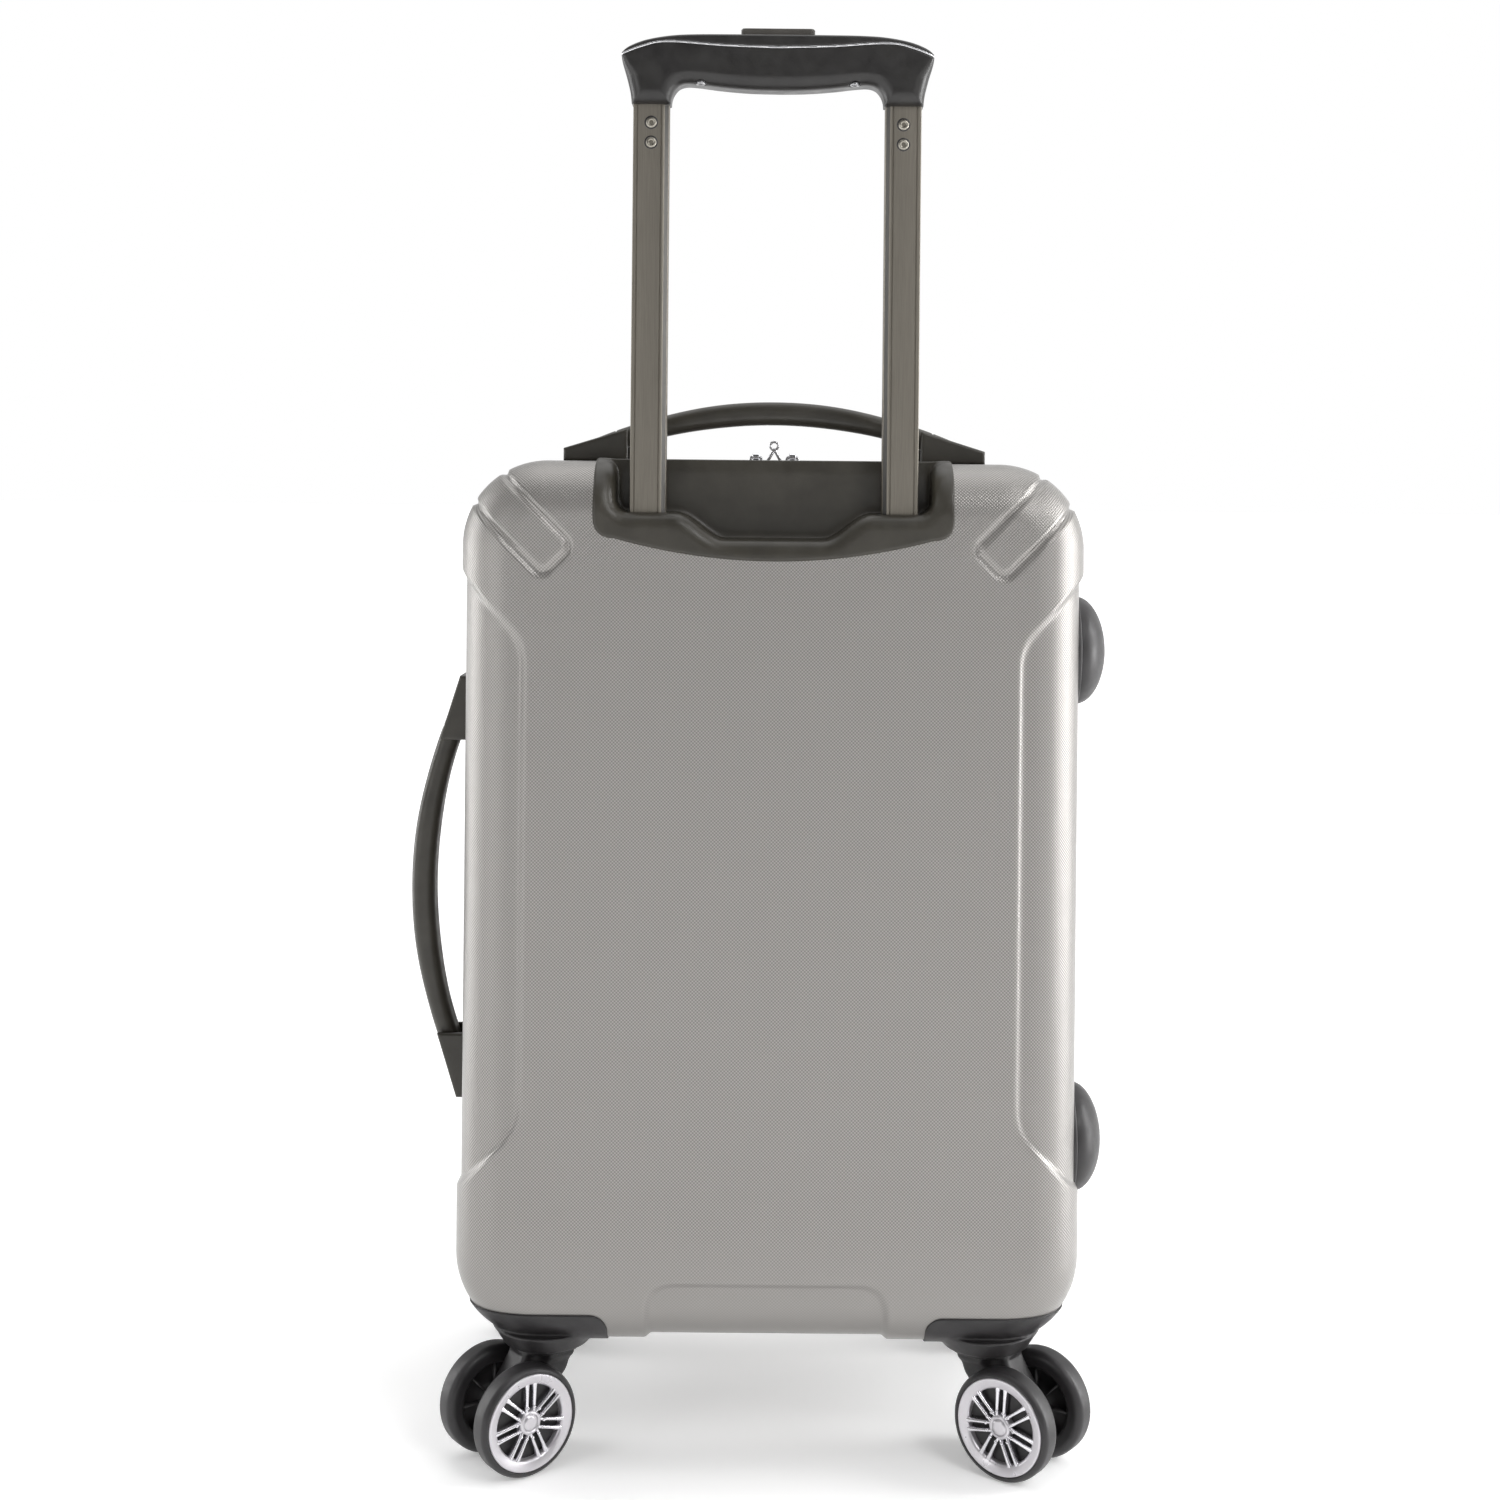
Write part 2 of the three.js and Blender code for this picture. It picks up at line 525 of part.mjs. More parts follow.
let footBracket = block(
  -TUBE_X - OUTER_TUBE_WIDTH / 2 - TUBE_FOOT_WALL, TUBE_X + OUTER_TUBE_WIDTH / 2 + TUBE_FOOT_WALL,
  -BACK_DEPTH + RELIEF_DEPTH + SHELL_WALL + FIT_GAP, TUBE_Y + OUTER_TUBE_DEPTH / 2 + TUBE_FOOT_FRONT,
  OUTER_TUBE_BOTTOM - TUBE_FOOT_FLOOR, OUTER_TUBE_BOTTOM + TUBE_FOOT_RISE,
);
const rivetZ = RIVET_DEPTHS.map((depth) => GRIP_LEG_Z - depth);
const tubeRear = TUBE_Y - INNER_TUBE_DEPTH / 2;
const pinZ = INNER_TUBE_BOTTOM + PIN_HEIGHT;

for (const [side, sx] of [['left', -1], ['right', 1]]) {
  const x = sx * TUBE_X;
  const outer = tubeSection(OUTER_TUBE_WIDTH, OUTER_TUBE_DEPTH, TUBE_WALL, x);
  const mid = tubeSection(MID_TUBE_WIDTH, MID_TUBE_DEPTH, TUBE_WALL, x);
  const inner = tubeSection(INNER_TUBE_WIDTH, INNER_TUBE_DEPTH, INNER_TUBE_WALL, x, INNER_TUBE_CHAMFER);
  add(`outer_tube_${side}`, tube(outer, OUTER_TUBE_BOTTOM, OUTER_TUBE_TOP), steel());
  add(`mid_tube_${side}`, tube(mid, MID_TUBE_BOTTOM, MID_TUBE_TOP), gunmetal());

  let innerTube = tube(inner, INNER_TUBE_BOTTOM, INNER_TUBE_TOP);
  for (const z of rivetZ) {
    const hole = alongY(rod(RIVET_RADIUS + FIT_GAP, -1, INNER_TUBE_WALL + 1));
    innerTube = innerTube.subtract(hole.translate([x, tubeRear, z]));
  }
  const outside = sx * (INNER_TUBE_WIDTH / 2);
  const pinHole = alongX(rod(PIN_RADIUS + FIT_GAP, -3, 3)).translate([x + outside, TUBE_Y, pinZ]);
  add(`inner_tube_${side}`, innerTube.subtract(pinHole), gunmetal());

  const pinLength = INNER_TUBE_WIDTH / 2 + PIN_TIP - PIN_TRAVEL - PIN_RADIUS;
  const pin = alongX(rod(PIN_RADIUS, -pinLength, 0, 12));
  const placedPin = sx < 0 ? pin.mirror([1, 0, 0]) : pin;
  add(`lock_pin_${side}`, placedPin.translate([x + outside + sx * PIN_TIP, TUBE_Y, pinZ]), steel());

  const socket = rectangle(OUTER_TUBE_WIDTH + 2 * FIT_GAP, OUTER_TUBE_DEPTH + 2 * FIT_GAP, x, TUBE_Y);
  footBracket = footBracket.subtract(column(socket, OUTER_TUBE_BOTTOM - FIT_GAP, FAR));
}
add('tube_foot_bracket', footBracket, blackPlastic());

// ---------------------------------------------------------------- trolley grip
/** The trim line's height over x, as points from one end to the other, moved up by rise. */
function trimLine(rise, middle = 0, ends = 0) {
  const shoulder = TRIM_LINE + GRIP_SHOULDER_RISE;
  const end = shoulder - GRIP_END_FALL;
  const half = [[TUBE_X - GRIP_SHOULDER, shoulder + (middle + ends) / 2.5], [GRIP_HALF_WIDTH, end + ends]];
  const right = half.map(([x, z]) => new THREE.Vector2(x, z + rise));
  const left = right.map(({ x, y }) => new THREE.Vector2(-x, y)).reverse();
  const curve = new THREE.SplineCurve([...left, new THREE.Vector2(0, TRIM_LINE + middle + rise), ...right]);
  return curve.getPoints(16).map(({ x, y }) => [x, y]);
}

const halfTrim = TRIM_THICKNESS / 2;
const gripY = [TUBE_Y - GRIP_DEPTH / 2, TUBE_Y + GRIP_DEPTH / 2];
const legInner = TUBE_X - INNER_TUBE_WIDTH / 2 - GRIP_LEG_MARGIN;
const legOuter = TUBE_X + INNER_TUBE_WIDTH / 2 + GRIP_LEG_MARGIN;

/** The grip's lower body seen from the back, from the right leg under the bar to the left one. */
function gripOutline() {
  const cornerZ = GRIP_UNDERSIDE + 3;
  const right = [[legInner - 4, cornerZ], [legInner - 1, cornerZ - 4], [legInner, GRIP_LEG_Z]];
  right.push([legOuter, GRIP_LEG_Z], [legOuter + 1, GRIP_UNDERSIDE + 2]);
  right.push([GRIP_HALF_WIDTH, GRIP_UNDERSIDE + 13]);
  const left = right.map(([x, z]) => [-x, z]).reverse();
  const top = trimLine(-halfTrim - FIT_GAP);
  return polygon([...left, [0, GRIP_UNDERSIDE], ...right, ...top.reverse()]);
}

const buttonPocketFloor = PUSH_BAR_Z + PUSH_BAR_HEIGHT + 1;
let gripBody = slab(gripOutline(), ...gripY);
const barHalf = TUBE_X + ROD_RADIUS + 2;
const channelY = [TUBE_Y - CHANNEL_HALF_DEPTH, TUBE_Y + CHANNEL_HALF_DEPTH];
gripBody = gripBody.subtract(block(-barHalf - 2, barHalf + 2, ...channelY, CHANNEL_FLOOR, FAR));
const buttonHole = block(
  -BUTTON_LENGTH / 2 - BUTTON_GAP, BUTTON_LENGTH / 2 + BUTTON_GAP,
  TUBE_Y - BUTTON_DEPTH / 2 - BUTTON_GAP, TUBE_Y + BUTTON_DEPTH / 2 + BUTTON_GAP,
  buttonPocketFloor, FAR,
);
gripBody = gripBody.subtract(buttonHole);
const coverOutline = () => {
  const low = trimLine(halfTrim + FIT_GAP);
  const high = trimLine(0, GRIP_COVER_HEIGHT, GRIP_COVER_EDGE);
  return polygon([...low, ...high.reverse()]);
};
const trimOutline = () => polygon([...trimLine(-halfTrim), ...trimLine(halfTrim).reverse()]);
let gripCover = slab(coverOutline(), ...gripY).subtract(buttonHole);
let gripTrim = slab(trimOutline(), ...gripY).subtract(buttonHole);

const screwHeadTop = GRIP_UNDERSIDE + SCREW_HEAD_SEAT;
const screwHeadLow = screwHeadTop - SCREW_HEAD_HEIGHT;
const screwEnd = screwHeadLow + SCREW_LENGTH;
for (const [side, sx] of [['left', -1], ['right', 1]]) {
  const x = sx * TUBE_X;
  const socketWidth = INNER_TUBE_WIDTH + 2 * FIT_GAP;
  const socketDepth = INNER_TUBE_DEPTH + 2 * FIT_GAP;
  const socket = column(rectangle(socketWidth, socketDepth, x, TUBE_Y), 0, INNER_TUBE_TOP + FIT_GAP);
  gripBody = gripBody.subtract(socket);
  const margin = 2 * (INNER_TUBE_WALL + PLUG_CLEARANCE + INNER_TUBE_CHAMFER / 2);
  const plugSection = rectangle(INNER_TUBE_WIDTH - margin, INNER_TUBE_DEPTH - margin, x, TUBE_Y);
  gripBody = gripBody.add(column(plugSection, INNER_TUBE_TOP - PLUG_LENGTH, INNER_TUBE_TOP + 1));
  const rodHole = rod(ROD_RADIUS + ROD_CLEARANCE, INNER_TUBE_TOP - PLUG_LENGTH - 1, CHANNEL_FLOOR + 1, 12);
  gripBody = gripBody.subtract(rodHole.translate([x, TUBE_Y, 0]));

  const screw = turned([
    [0, screwHeadLow], [SCREW_HEAD_RADIUS, screwHeadLow], [SCREW_HEAD_RADIUS, screwHeadTop],
    [SCREW_SHANK_RADIUS, screwHeadTop], [SCREW_SHANK_RADIUS, screwEnd], [0, screwEnd],
  ], 12);
  const screwHole = turned([
    [0, 0], [SCREW_HEAD_RADIUS + FIT_GAP, 0], [SCREW_HEAD_RADIUS + FIT_GAP, screwHeadTop + FIT_GAP],
    [SCREW_SHANK_RADIUS + FIT_GAP, screwHeadTop + FIT_GAP],
    [SCREW_SHANK_RADIUS + FIT_GAP, screwEnd + SCREW_SPARE], [0, screwEnd + SCREW_SPARE],
  ], 12);
  const place = [sx * (TUBE_X - SCREW_FROM_TUBE), TUBE_Y + SCREW_Y, 0];
  gripBody = gripBody.subtract(screwHole.translate(place));
  gripTrim = gripTrim.subtract(screwHole.translate(place));
  gripCover = gripCover.subtract(screwHole.translate(place));
  add(`grip_screw_${side}`, screw.translate(place), steel());
}

const rivetTail = INNER_TUBE_DEPTH / 2 - ROD_RADIUS - ROD_CLEARANCE - FIT_GAP;
for (const [side, sx] of [['left', -1], ['right', 1]]) {
  for (const [level, z] of [['upper', rivetZ[0]], ['lower', rivetZ[1]]]) {
    const rivet = turned([
      [0, -RIVET_PROUD], [RIVET_RADIUS, -RIVET_PROUD], [RIVET_RADIUS, INNER_TUBE_WALL],
      [RIVET_SHANK_RADIUS, INNER_TUBE_WALL], [RIVET_SHANK_RADIUS, rivetTail], [0, rivetTail],
    ], 16);
    const hole = alongY(rod(RIVET_SHANK_RADIUS + FIT_GAP, 0, INNER_TUBE_DEPTH / 2, 12));
    const place = [sx * TUBE_X, tubeRear, z];
    gripBody = gripBody.subtract(hole.translate(place));
    add(`tube_rivet_${side}_${level}`, alongY(rivet).translate(place), chrome());
  }
}
add('grip_body', gripBody, darkPlastic());
add('grip_trim', gripTrim, chrome());
add('grip_cover', gripCover, darkPlastic());

// ---------------------------------------------------------------- release button and its linkage
const buttonTop = TRIM_LINE + GRIP_COVER_HEIGHT + BUTTON_PROUD;
const pushBarTop = PUSH_BAR_Z + PUSH_BAR_HEIGHT;
const stemHalf = BUTTON_LENGTH / 2 - STEM_FROM_END;
const stem = block(
  -stemHalf, stemHalf, TUBE_Y - PUSH_BAR_DEPTH / 2, TUBE_Y + PUSH_BAR_DEPTH / 2,
  pushBarTop + FIT_GAP, buttonTop - 1,
);
const button = block(
  -BUTTON_LENGTH / 2, BUTTON_LENGTH / 2, TUBE_Y - BUTTON_DEPTH / 2, TUBE_Y + BUTTON_DEPTH / 2,
  buttonPocketFloor + BUTTON_TRAVEL + BUTTON_GAP, buttonTop,
);
add('grip_button', button.add(stem), darkPlastic());

const pushBarY = [TUBE_Y - PUSH_BAR_DEPTH / 2, TUBE_Y + PUSH_BAR_DEPTH / 2];
add('push_bar', block(-barHalf, barHalf, ...pushBarY, PUSH_BAR_Z, pushBarTop), blackPlastic());
for (const [side, sx] of [['left', -1], ['right', 1]]) {
  const low = pinZ + PIN_RADIUS + BUTTON_TRAVEL + 1;
  const pushRod = rod(ROD_RADIUS, low, PUSH_BAR_Z - FIT_GAP, 8);
  add(`push_rod_${side}`, pushRod.translate([sx * TUBE_X, TUBE_Y, 0]), steel());
}

class Helix extends THREE.Curve {
  getPoint(t, target = new THREE.Vector3()) {
    const angle = t * SPRING_TURNS * 2 * Math.PI;
    const low = CHANNEL_FLOOR + FIT_GAP + SPRING_WIRE;
    const high = PUSH_BAR_Z - FIT_GAP - SPRING_WIRE;
    const y = TUBE_Y + SPRING_RADIUS * Math.sin(angle);
    return target.set(SPRING_RADIUS * Math.cos(angle), y, low + (high - low) * t);
  }
}

const wire = new THREE.Shape();
wire.absarc(0, 0, SPRING_WIRE, 0, 2 * Math.PI, false);
const coil = new THREE.ExtrudeGeometry(wire, {
  steps: 8 * SPRING_TURNS,
  curveSegments: 2,
  bevelEnabled: false,
  extrudePath: new Helix(),
});
add('button_spring', solid(coil), steel());

// ---------------------------------------------------------------- carry handles
/** A carry handle lying along x on the plane z = 0: its bar and its two brackets. */
function carryHandle() {
  const half = HANDLE_BAR_SPAN / 2;
  const crown = HANDLE_HEIGHT - HANDLE_THICKNESS / 2;
  const rise = crown - HANDLE_END_HEIGHT;
  const radius = (half * half + rise * rise) / (2 * rise);
  const sweep = Math.asin(half / radius);
  const arch = (inner, outer, angle) => {
    const shape = new THREE.Shape();
    shape.absarc(0, crown - radius, outer, Math.PI / 2 - angle, Math.PI / 2 + angle, false);
    shape.absarc(0, crown - radius, inner, Math.PI / 2 + angle, Math.PI / 2 - angle, true);
    return shape;
  };
  const bend = arch(radius - HANDLE_THICKNESS / 2, radius + HANDLE_THICKNESS / 2, sweep);
  let bar = slab(bend, -HANDLE_BAR_DEPTH / 2, HANDLE_BAR_DEPTH / 2, 12);
  bar = bar.intersect(block(-half, half, -FAR, FAR, 2 * FIT_GAP, FAR));

  const tongueHigh = TONGUE_LOW + TONGUE_THICKNESS;
  const outerEnd = HANDLE_SPAN / 2;
  const innerEnd = outerEnd - HANDLE_BRACKET_LENGTH;
  const side = polygon([
    [innerEnd, -HANDLE_FOOT], [outerEnd, -HANDLE_FOOT], [outerEnd, HANDLE_BRACKET_LOW],
    [innerEnd, HANDLE_BRACKET_HIGH],
  ]);
  const brackets = {};
  for (const [end, sx] of [['left', -1], ['right', 1]]) {
    const reach = half + TONGUE_REACH;
    const tongue = block(
      half - TONGUE_REACH, reach, -TONGUE_HALF_DEPTH, TONGUE_HALF_DEPTH, TONGUE_LOW, tongueHigh,
    );
    const placed = sx < 0 ? tongue.mirror([1, 0, 0]) : tongue;
    bar = bar.add(placed);
    let bracket = slab(side, -HANDLE_BRACKET_DEPTH / 2, HANDLE_BRACKET_DEPTH / 2);
    const slot = HANDLE_BAR_DEPTH / 2 + HANDLE_SIDE_GAP;
    const slotEnd = half + HANDLE_SIDE_GAP;
    bracket = bracket.subtract(block(innerEnd - 1, slotEnd, -slot, slot, HANDLE_SLOT_FLOOR, FAR));
    const cheek = TONGUE_HALF_DEPTH + HANDLE_SIDE_GAP;
    const cheekTop = tongueHigh + HANDLE_LIFT + HANDLE_SIDE_GAP;
    bracket = bracket.subtract(
      block(innerEnd, reach + HANDLE_SIDE_GAP, -cheek, cheek, HANDLE_SLOT_FLOOR, cheekTop),
    );
    brackets[end] = sx < 0 ? bracket.mirror([1, 0, 0]) : bracket;
  }
  return { bar, brackets };
}

const handle = carryHandle();
const handleY = HANDLE_FROM_REAR - BACK_DEPTH;
const onTop = (body) => body.translate([0, handleY, SHELL_TOP]);
const sideBase = -(HALF_WIDTH - RELIEF_DEPTH);
const onSide = (body) => body.rotate([0, -90, 0]).translate([sideBase, handleY, CASE_MIDDLE_Z]);
add('top_handle_bar', onTop(handle.bar), darkPlastic());
add('side_handle_bar', onSide(handle.bar), darkPlastic());
for (const [side, end] of [['left', 'lower'], ['right', 'upper']]) {
  const bracket = handle.brackets[side];
  add(`top_handle_bracket_${side}`, onTop(bracket).subtract(clearOfCase), darkPlastic());
  add(`side_handle_bracket_${end}`, onSide(bracket).subtract(clearOfCase), darkPlastic());
}

// ---------------------------------------------------------------- side feet
const domeSteps = 4;
const dome = [[0, -1], [FOOT_RADIUS, -1]];
for (let step = 0; step <= domeSteps; step += 1) {
  const angle = (step / domeSteps) * (Math.PI / 2);
  dome.push([step === domeSteps ? 0 : FOOT_RADIUS * Math.cos(angle), FOOT_HEIGHT * Math.sin(angle)]);
}
const footY = FOOT_FROM_REAR - BACK_DEPTH;
for (const [level, z] of [['upper', SHELL_TOP - FOOT_DROP], ['lower', SHELL_BOTTOM + FOOT_RISE]]) {
  const foot = alongX(turned(dome, 20)).translate([HALF_WIDTH - RELIEF_DEPTH, footY, z]);
  add(`side_foot_${level}`, foot.subtract(clearOfCase), blackPlastic());
}

// ---------------------------------------------------------------- casters
const housingSkin = form(-HOUSING_PROUD, 3).subtract(form(HOUSING_WALL, 3));
const swivelY = (sy) => (sy < 0 ? SWIVEL_FROM_FACE - BACK_DEPTH : FRONT_DEPTH - SWIVEL_FROM_FACE);
const floorTop = SHELL_BOTTOM + HOUSING_WALL;
const stemTop = floorTop + 0.6;

const collar = turned([
  [0, COLLAR_BOTTOM], [COLLAR_RADIUS - COLLAR_TAPER, COLLAR_BOTTOM], [COLLAR_RADIUS, SHELL_BOTTOM - 1],
  [COLLAR_RADIUS, SHELL_BOTTOM + 1], [STEM_RADIUS + 4, SHELL_BOTTOM + 2],
  [STEM_RADIUS + 4, floorTop + 2], [0, floorTop + 2],
], 20);
const stemBore = rod(STEM_RADIUS + FIT_GAP, 0, stemTop + FIT_GAP);

/** Swivel fork with its trail along +X and its axle along Y, the swivel axis at the origin. */
function casterFork() {
  const discBottom = COLLAR_BOTTOM - FIT_GAP - FORK_DISC_HEIGHT;
  const side = new THREE.Shape();
  side.moveTo(-FORK_TAIL, discBottom + 1);
  side.lineTo(-FORK_TAIL, discBottom - FORK_CHEEK);
  side.lineTo(TRAIL - FORK_BOSS_RADIUS, WHEEL_RADIUS - 2);
  side.absarc(TRAIL, WHEEL_RADIUS, FORK_BOSS_RADIUS, Math.PI, 2.25 * Math.PI, false);
  side.lineTo(FORK_DISC_RADIUS - 2, discBottom + 1);
  const web = slab(side, -FORK_HALF_WIDTH, FORK_HALF_WIDTH, 6);
  const disc = rod(FORK_DISC_RADIUS, discBottom, discBottom + FORK_DISC_HEIGHT);
  const kingpin = rod(STEM_RADIUS, discBottom + 1, stemTop, 12);
  const axleHalf = WHEEL_SPACING / 2 + WHEEL_WIDTH / 2 - AXLE_FROM_FACE;
  const axle = alongY(rod(AXLE_RADIUS, -axleHalf, axleHalf, 12)).translate([TRAIL, 0, WHEEL_RADIUS]);
  return web.add(disc).add(kingpin).add(axle);
}

/** Wheel about +Z, its closed hub face up, with a blind bore for the axle. */
function wheel() {
  const half = WHEEL_WIDTH / 2;
  const flat = WHEEL_RADIUS - WHEEL_EDGE;
  const bore = AXLE_RADIUS + FIT_GAP;
  return turned([
    [0, half - BORE_FROM_FACE], [bore, half - BORE_FROM_FACE], [bore, -half],
    [flat, -half], [WHEEL_RADIUS, WHEEL_EDGE - half], [WHEEL_RADIUS, half - WHEEL_EDGE], [flat, half],
    [0, half],
  ], 20);
}

const fork = casterFork();
const hub = wheel();
for (const [end, sy] of [['rear', -1], ['front', 1]]) {
  for (const [side, sx] of [['left', -1], ['right', 1]]) {
    const place = [sx * (HALF_WIDTH - SWIVEL_FROM_SIDE), swivelY(sy), 0];
    const housing = housingSkin.intersect(housingZone(sx, sy, 0)).add(collar.translate(place));
    add(`caster_housing_${end}_${side}`, housing.subtract(stemBore.translate(place)), blackPlastic());

    const out = sx > 0 ? sy * TRAIL_TURN : 180 - sy * TRAIL_TURN;
    const turn = (body) => body.rotate([0, 0, out]).translate(place);
    add(`caster_fork_${end}_${side}`, turn(fork), blackPlastic());
    for (const [position, s] of [['1', -1], ['2', 1]]) {
      const facing = s < 0 ? alongY(hub).mirror([0, 1, 0]) : alongY(hub);
      const onAxle = facing.translate([TRAIL, (s * WHEEL_SPACING) / 2, WHEEL_RADIUS]);
      add(`wheel_${end}_${side}_${position}`, turn(onAxle), tyreRubber());
    }
  }
}

// ---------------------------------------------------------------- zip sliders and pulls
const sliderFoot = SHELL_TOP - TAPE_INSET + FIT_GAP;
const pinX = SLIDER_START + SLIDER_LENGTH / 2;
const pullZ = sliderFoot + SLIDER_HEIGHT + PULL_EYE + FIT_GAP;
const postX = PULL_HALF_WIDTH + PULL_PLAY; // a post's inner face, from the pin's middle

function slider() {
  const y = SLIDER_HALF_DEPTH;
  const end = SLIDER_START + SLIDER_LENGTH;
  const base = block(SLIDER_START, end, -y, y, sliderFoot, sliderFoot + SLIDER_HEIGHT);
  const pinHalf = postX + PULL_POST / 2;
  const pin = alongX(rod(PULL_PIN_RADIUS, -pinHalf, pinHalf, 12)).translate([pinX, 0, pullZ]);
  const postTop = pullZ + PULL_PIN_RADIUS;
  const post = block(postX, postX + PULL_POST, -PULL_POST, PULL_POST, sliderFoot + 1, postTop);
  const posts = post.add(post.mirror([1, 0, 0])).translate([pinX, 0, 0]);
  const eyeZ = sliderFoot + EYELET_HEIGHT;
  const eyeY = [TAPE_CLEARANCE, TAPE_CLEARANCE + EYELET_THICKNESS];
  const disc = alongY(rod(EYELET_RADIUS, ...eyeY)).translate([0, 0, eyeZ]);
  const arm = polygon([
    [-EYELET_HOLE, eyeZ - EYELET_RADIUS + 0.6], [SLIDER_START, sliderFoot + 1],
    [SLIDER_START + 4, sliderFoot + 1], [EYELET_RADIUS - 0.6, eyeZ],
  ]);
  const hole = alongY(rod(EYELET_HOLE, -5, 5)).translate([0, 0, eyeZ]);
  const eyelet = disc.add(slab(arm, ...eyeY)).subtract(hole);
  return base.add(posts).add(pin).add(eyelet);
}

/** A pull with its eye round the pin, its tab lying across the zip towards the front shell. */
function pull() {
  const x = PULL_HALF_WIDTH;
  const half = PULL_THICKNESS / 2;
  const eye = alongX(rod(PULL_EYE, -x, x));
  const tab = block(-x, x, PULL_PIN_RADIUS, PULL_LENGTH, -half, half);
  const bore = alongX(rod(PULL_PIN_RADIUS + FIT_GAP, -x - 1, x + 1));
  const slotEnd = PULL_LENGTH - x;
  const slot = block(1 - x, x - 1, slotEnd - PULL_SLOT_LENGTH, slotEnd, -x, x);
  return eye.add(tab).subtract(bore).subtract(slot).rotate([-PULL_DROOP, 0, 0]);
}

for (const [side, sx] of [['right', 1], ['left', -1]]) {
  const placedSlider = sx > 0 ? slider() : slider().rotate([0, 0, 180]);
  add(`zip_slider_${side}`, placedSlider, chrome());
  add(`zip_pull_${side}`, pull().translate([sx * pinX, 0, pullZ]), chrome());
}

// ---------------------------------------------------------------- the suitcase in its own frame
// The origin is on the floor, under the middle of the whole object's box.
const box = new THREE.Box3().setFromObject(parts);
const middle = box.getCenter(new THREE.Vector3());
const tenth = (value) => Math.round(value * 10) / 10;
parts.position.set(-tenth(middle.x), -tenth(middle.y), 0);
parts.name = 'suitcase';

export default parts;
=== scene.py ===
"""Looks of a hard shell suitcase on wheels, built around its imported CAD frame."""

import math
from itertools import product

import bmesh
import bpy
import numpy as np
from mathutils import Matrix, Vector


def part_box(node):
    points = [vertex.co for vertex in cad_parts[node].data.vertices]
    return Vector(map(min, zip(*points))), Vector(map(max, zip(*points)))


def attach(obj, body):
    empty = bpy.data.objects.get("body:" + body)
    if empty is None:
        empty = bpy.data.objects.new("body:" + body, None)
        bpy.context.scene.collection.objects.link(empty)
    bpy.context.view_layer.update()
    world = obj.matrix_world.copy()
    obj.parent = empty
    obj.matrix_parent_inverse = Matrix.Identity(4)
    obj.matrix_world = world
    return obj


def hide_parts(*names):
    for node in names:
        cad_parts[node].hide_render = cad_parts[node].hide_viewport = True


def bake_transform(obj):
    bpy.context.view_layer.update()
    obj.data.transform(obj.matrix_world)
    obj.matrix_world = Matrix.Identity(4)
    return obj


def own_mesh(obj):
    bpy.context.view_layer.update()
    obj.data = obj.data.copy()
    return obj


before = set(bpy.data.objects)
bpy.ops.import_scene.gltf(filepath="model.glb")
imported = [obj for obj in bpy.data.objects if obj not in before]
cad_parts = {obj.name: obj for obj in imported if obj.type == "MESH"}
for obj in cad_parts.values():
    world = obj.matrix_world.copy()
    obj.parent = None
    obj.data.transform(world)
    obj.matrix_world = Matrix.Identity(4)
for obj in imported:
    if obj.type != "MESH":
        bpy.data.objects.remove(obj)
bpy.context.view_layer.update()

# ---------------------------------------------------------------- the case's own axes, in millimetres
# x from the shell's middle, y from the seam (minus is the trolley's side), z from the floor.
MM = 0.001
SEAM_HALF = 5.0
EDGE_RADIUS = 30.0
CORNER_RADIUS = 48.0
SHELL_WALL = 2.5
RELIEF_DEPTH = 2.5
back_low, back_high = (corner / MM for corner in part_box("back_shell"))
front_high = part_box("front_shell")[1] / MM
ORIGIN = np.array([(back_low.x + back_high.x) / 2, back_high.y + SEAM_HALF, 0.0])
HALF_WIDTH = (back_high.x - back_low.x) / 2
BACK_DEPTH = ORIGIN[1] - back_low.y
FRONT_DEPTH = front_high.y - ORIGIN[1]
BOTTOM, TOP = back_low.z, back_high.z
MIDDLE_Z = (BOTTOM + TOP) / 2
HALF_HEIGHT = (TOP - BOTTOM) / 2


def node_box(name):
    """A CAD node's lowest and highest corner in the case's own axes."""
    low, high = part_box(name)
    return np.array(low) / MM - ORIGIN, np.array(high) / MM - ORIGIN


# ---------------------------------------------------------------- meshes
def build(name, verts, faces, materials, body, replaces=(), uv=None, kinds=None, smooth=True):
    """A piece from points in the case's axes. kinds is each face's material index."""
    mesh = bpy.data.meshes.new(name)
    points = (np.asarray(verts, float) + ORIGIN) * MM
    mesh.from_pydata(points.tolist(), [], [list(f) for f in faces])
    for material in materials:
        mesh.materials.append(material)
    if kinds is not None:
        mesh.polygons.foreach_set("material_index", np.asarray(kinds, np.int32))
    if uv is not None:
        layer = mesh.uv_layers.new(name="surface")
        loops = np.empty(len(mesh.loops), np.int32)
        mesh.loops.foreach_get("vertex_index", loops)
        layer.data.foreach_set("uv", np.asarray(uv, np.float32)[loops].ravel())
    mesh.polygons.foreach_set("use_smooth", np.full(len(mesh.polygons), smooth))
    mesh.validate()
    mesh.update()
    piece = bpy.data.objects.new(name, mesh)
    bpy.context.scene.collection.objects.link(piece)
    if body:
        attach(piece, body)
    if replaces:
        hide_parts(*replaces)
    return piece


def joined(shapes):
    """Several (verts, faces, kind) shapes as one (verts, faces, kinds)."""
    verts, faces, kinds, start = [], [], [], 0
    for points, polygons, kind in shapes:
        verts.append(np.asarray(points, float))
        faces += [[i + start for i in f] for f in polygons]
        kinds += [kind] * len(polygons)
        start += len(points)
    return np.concatenate(verts), faces, kinds


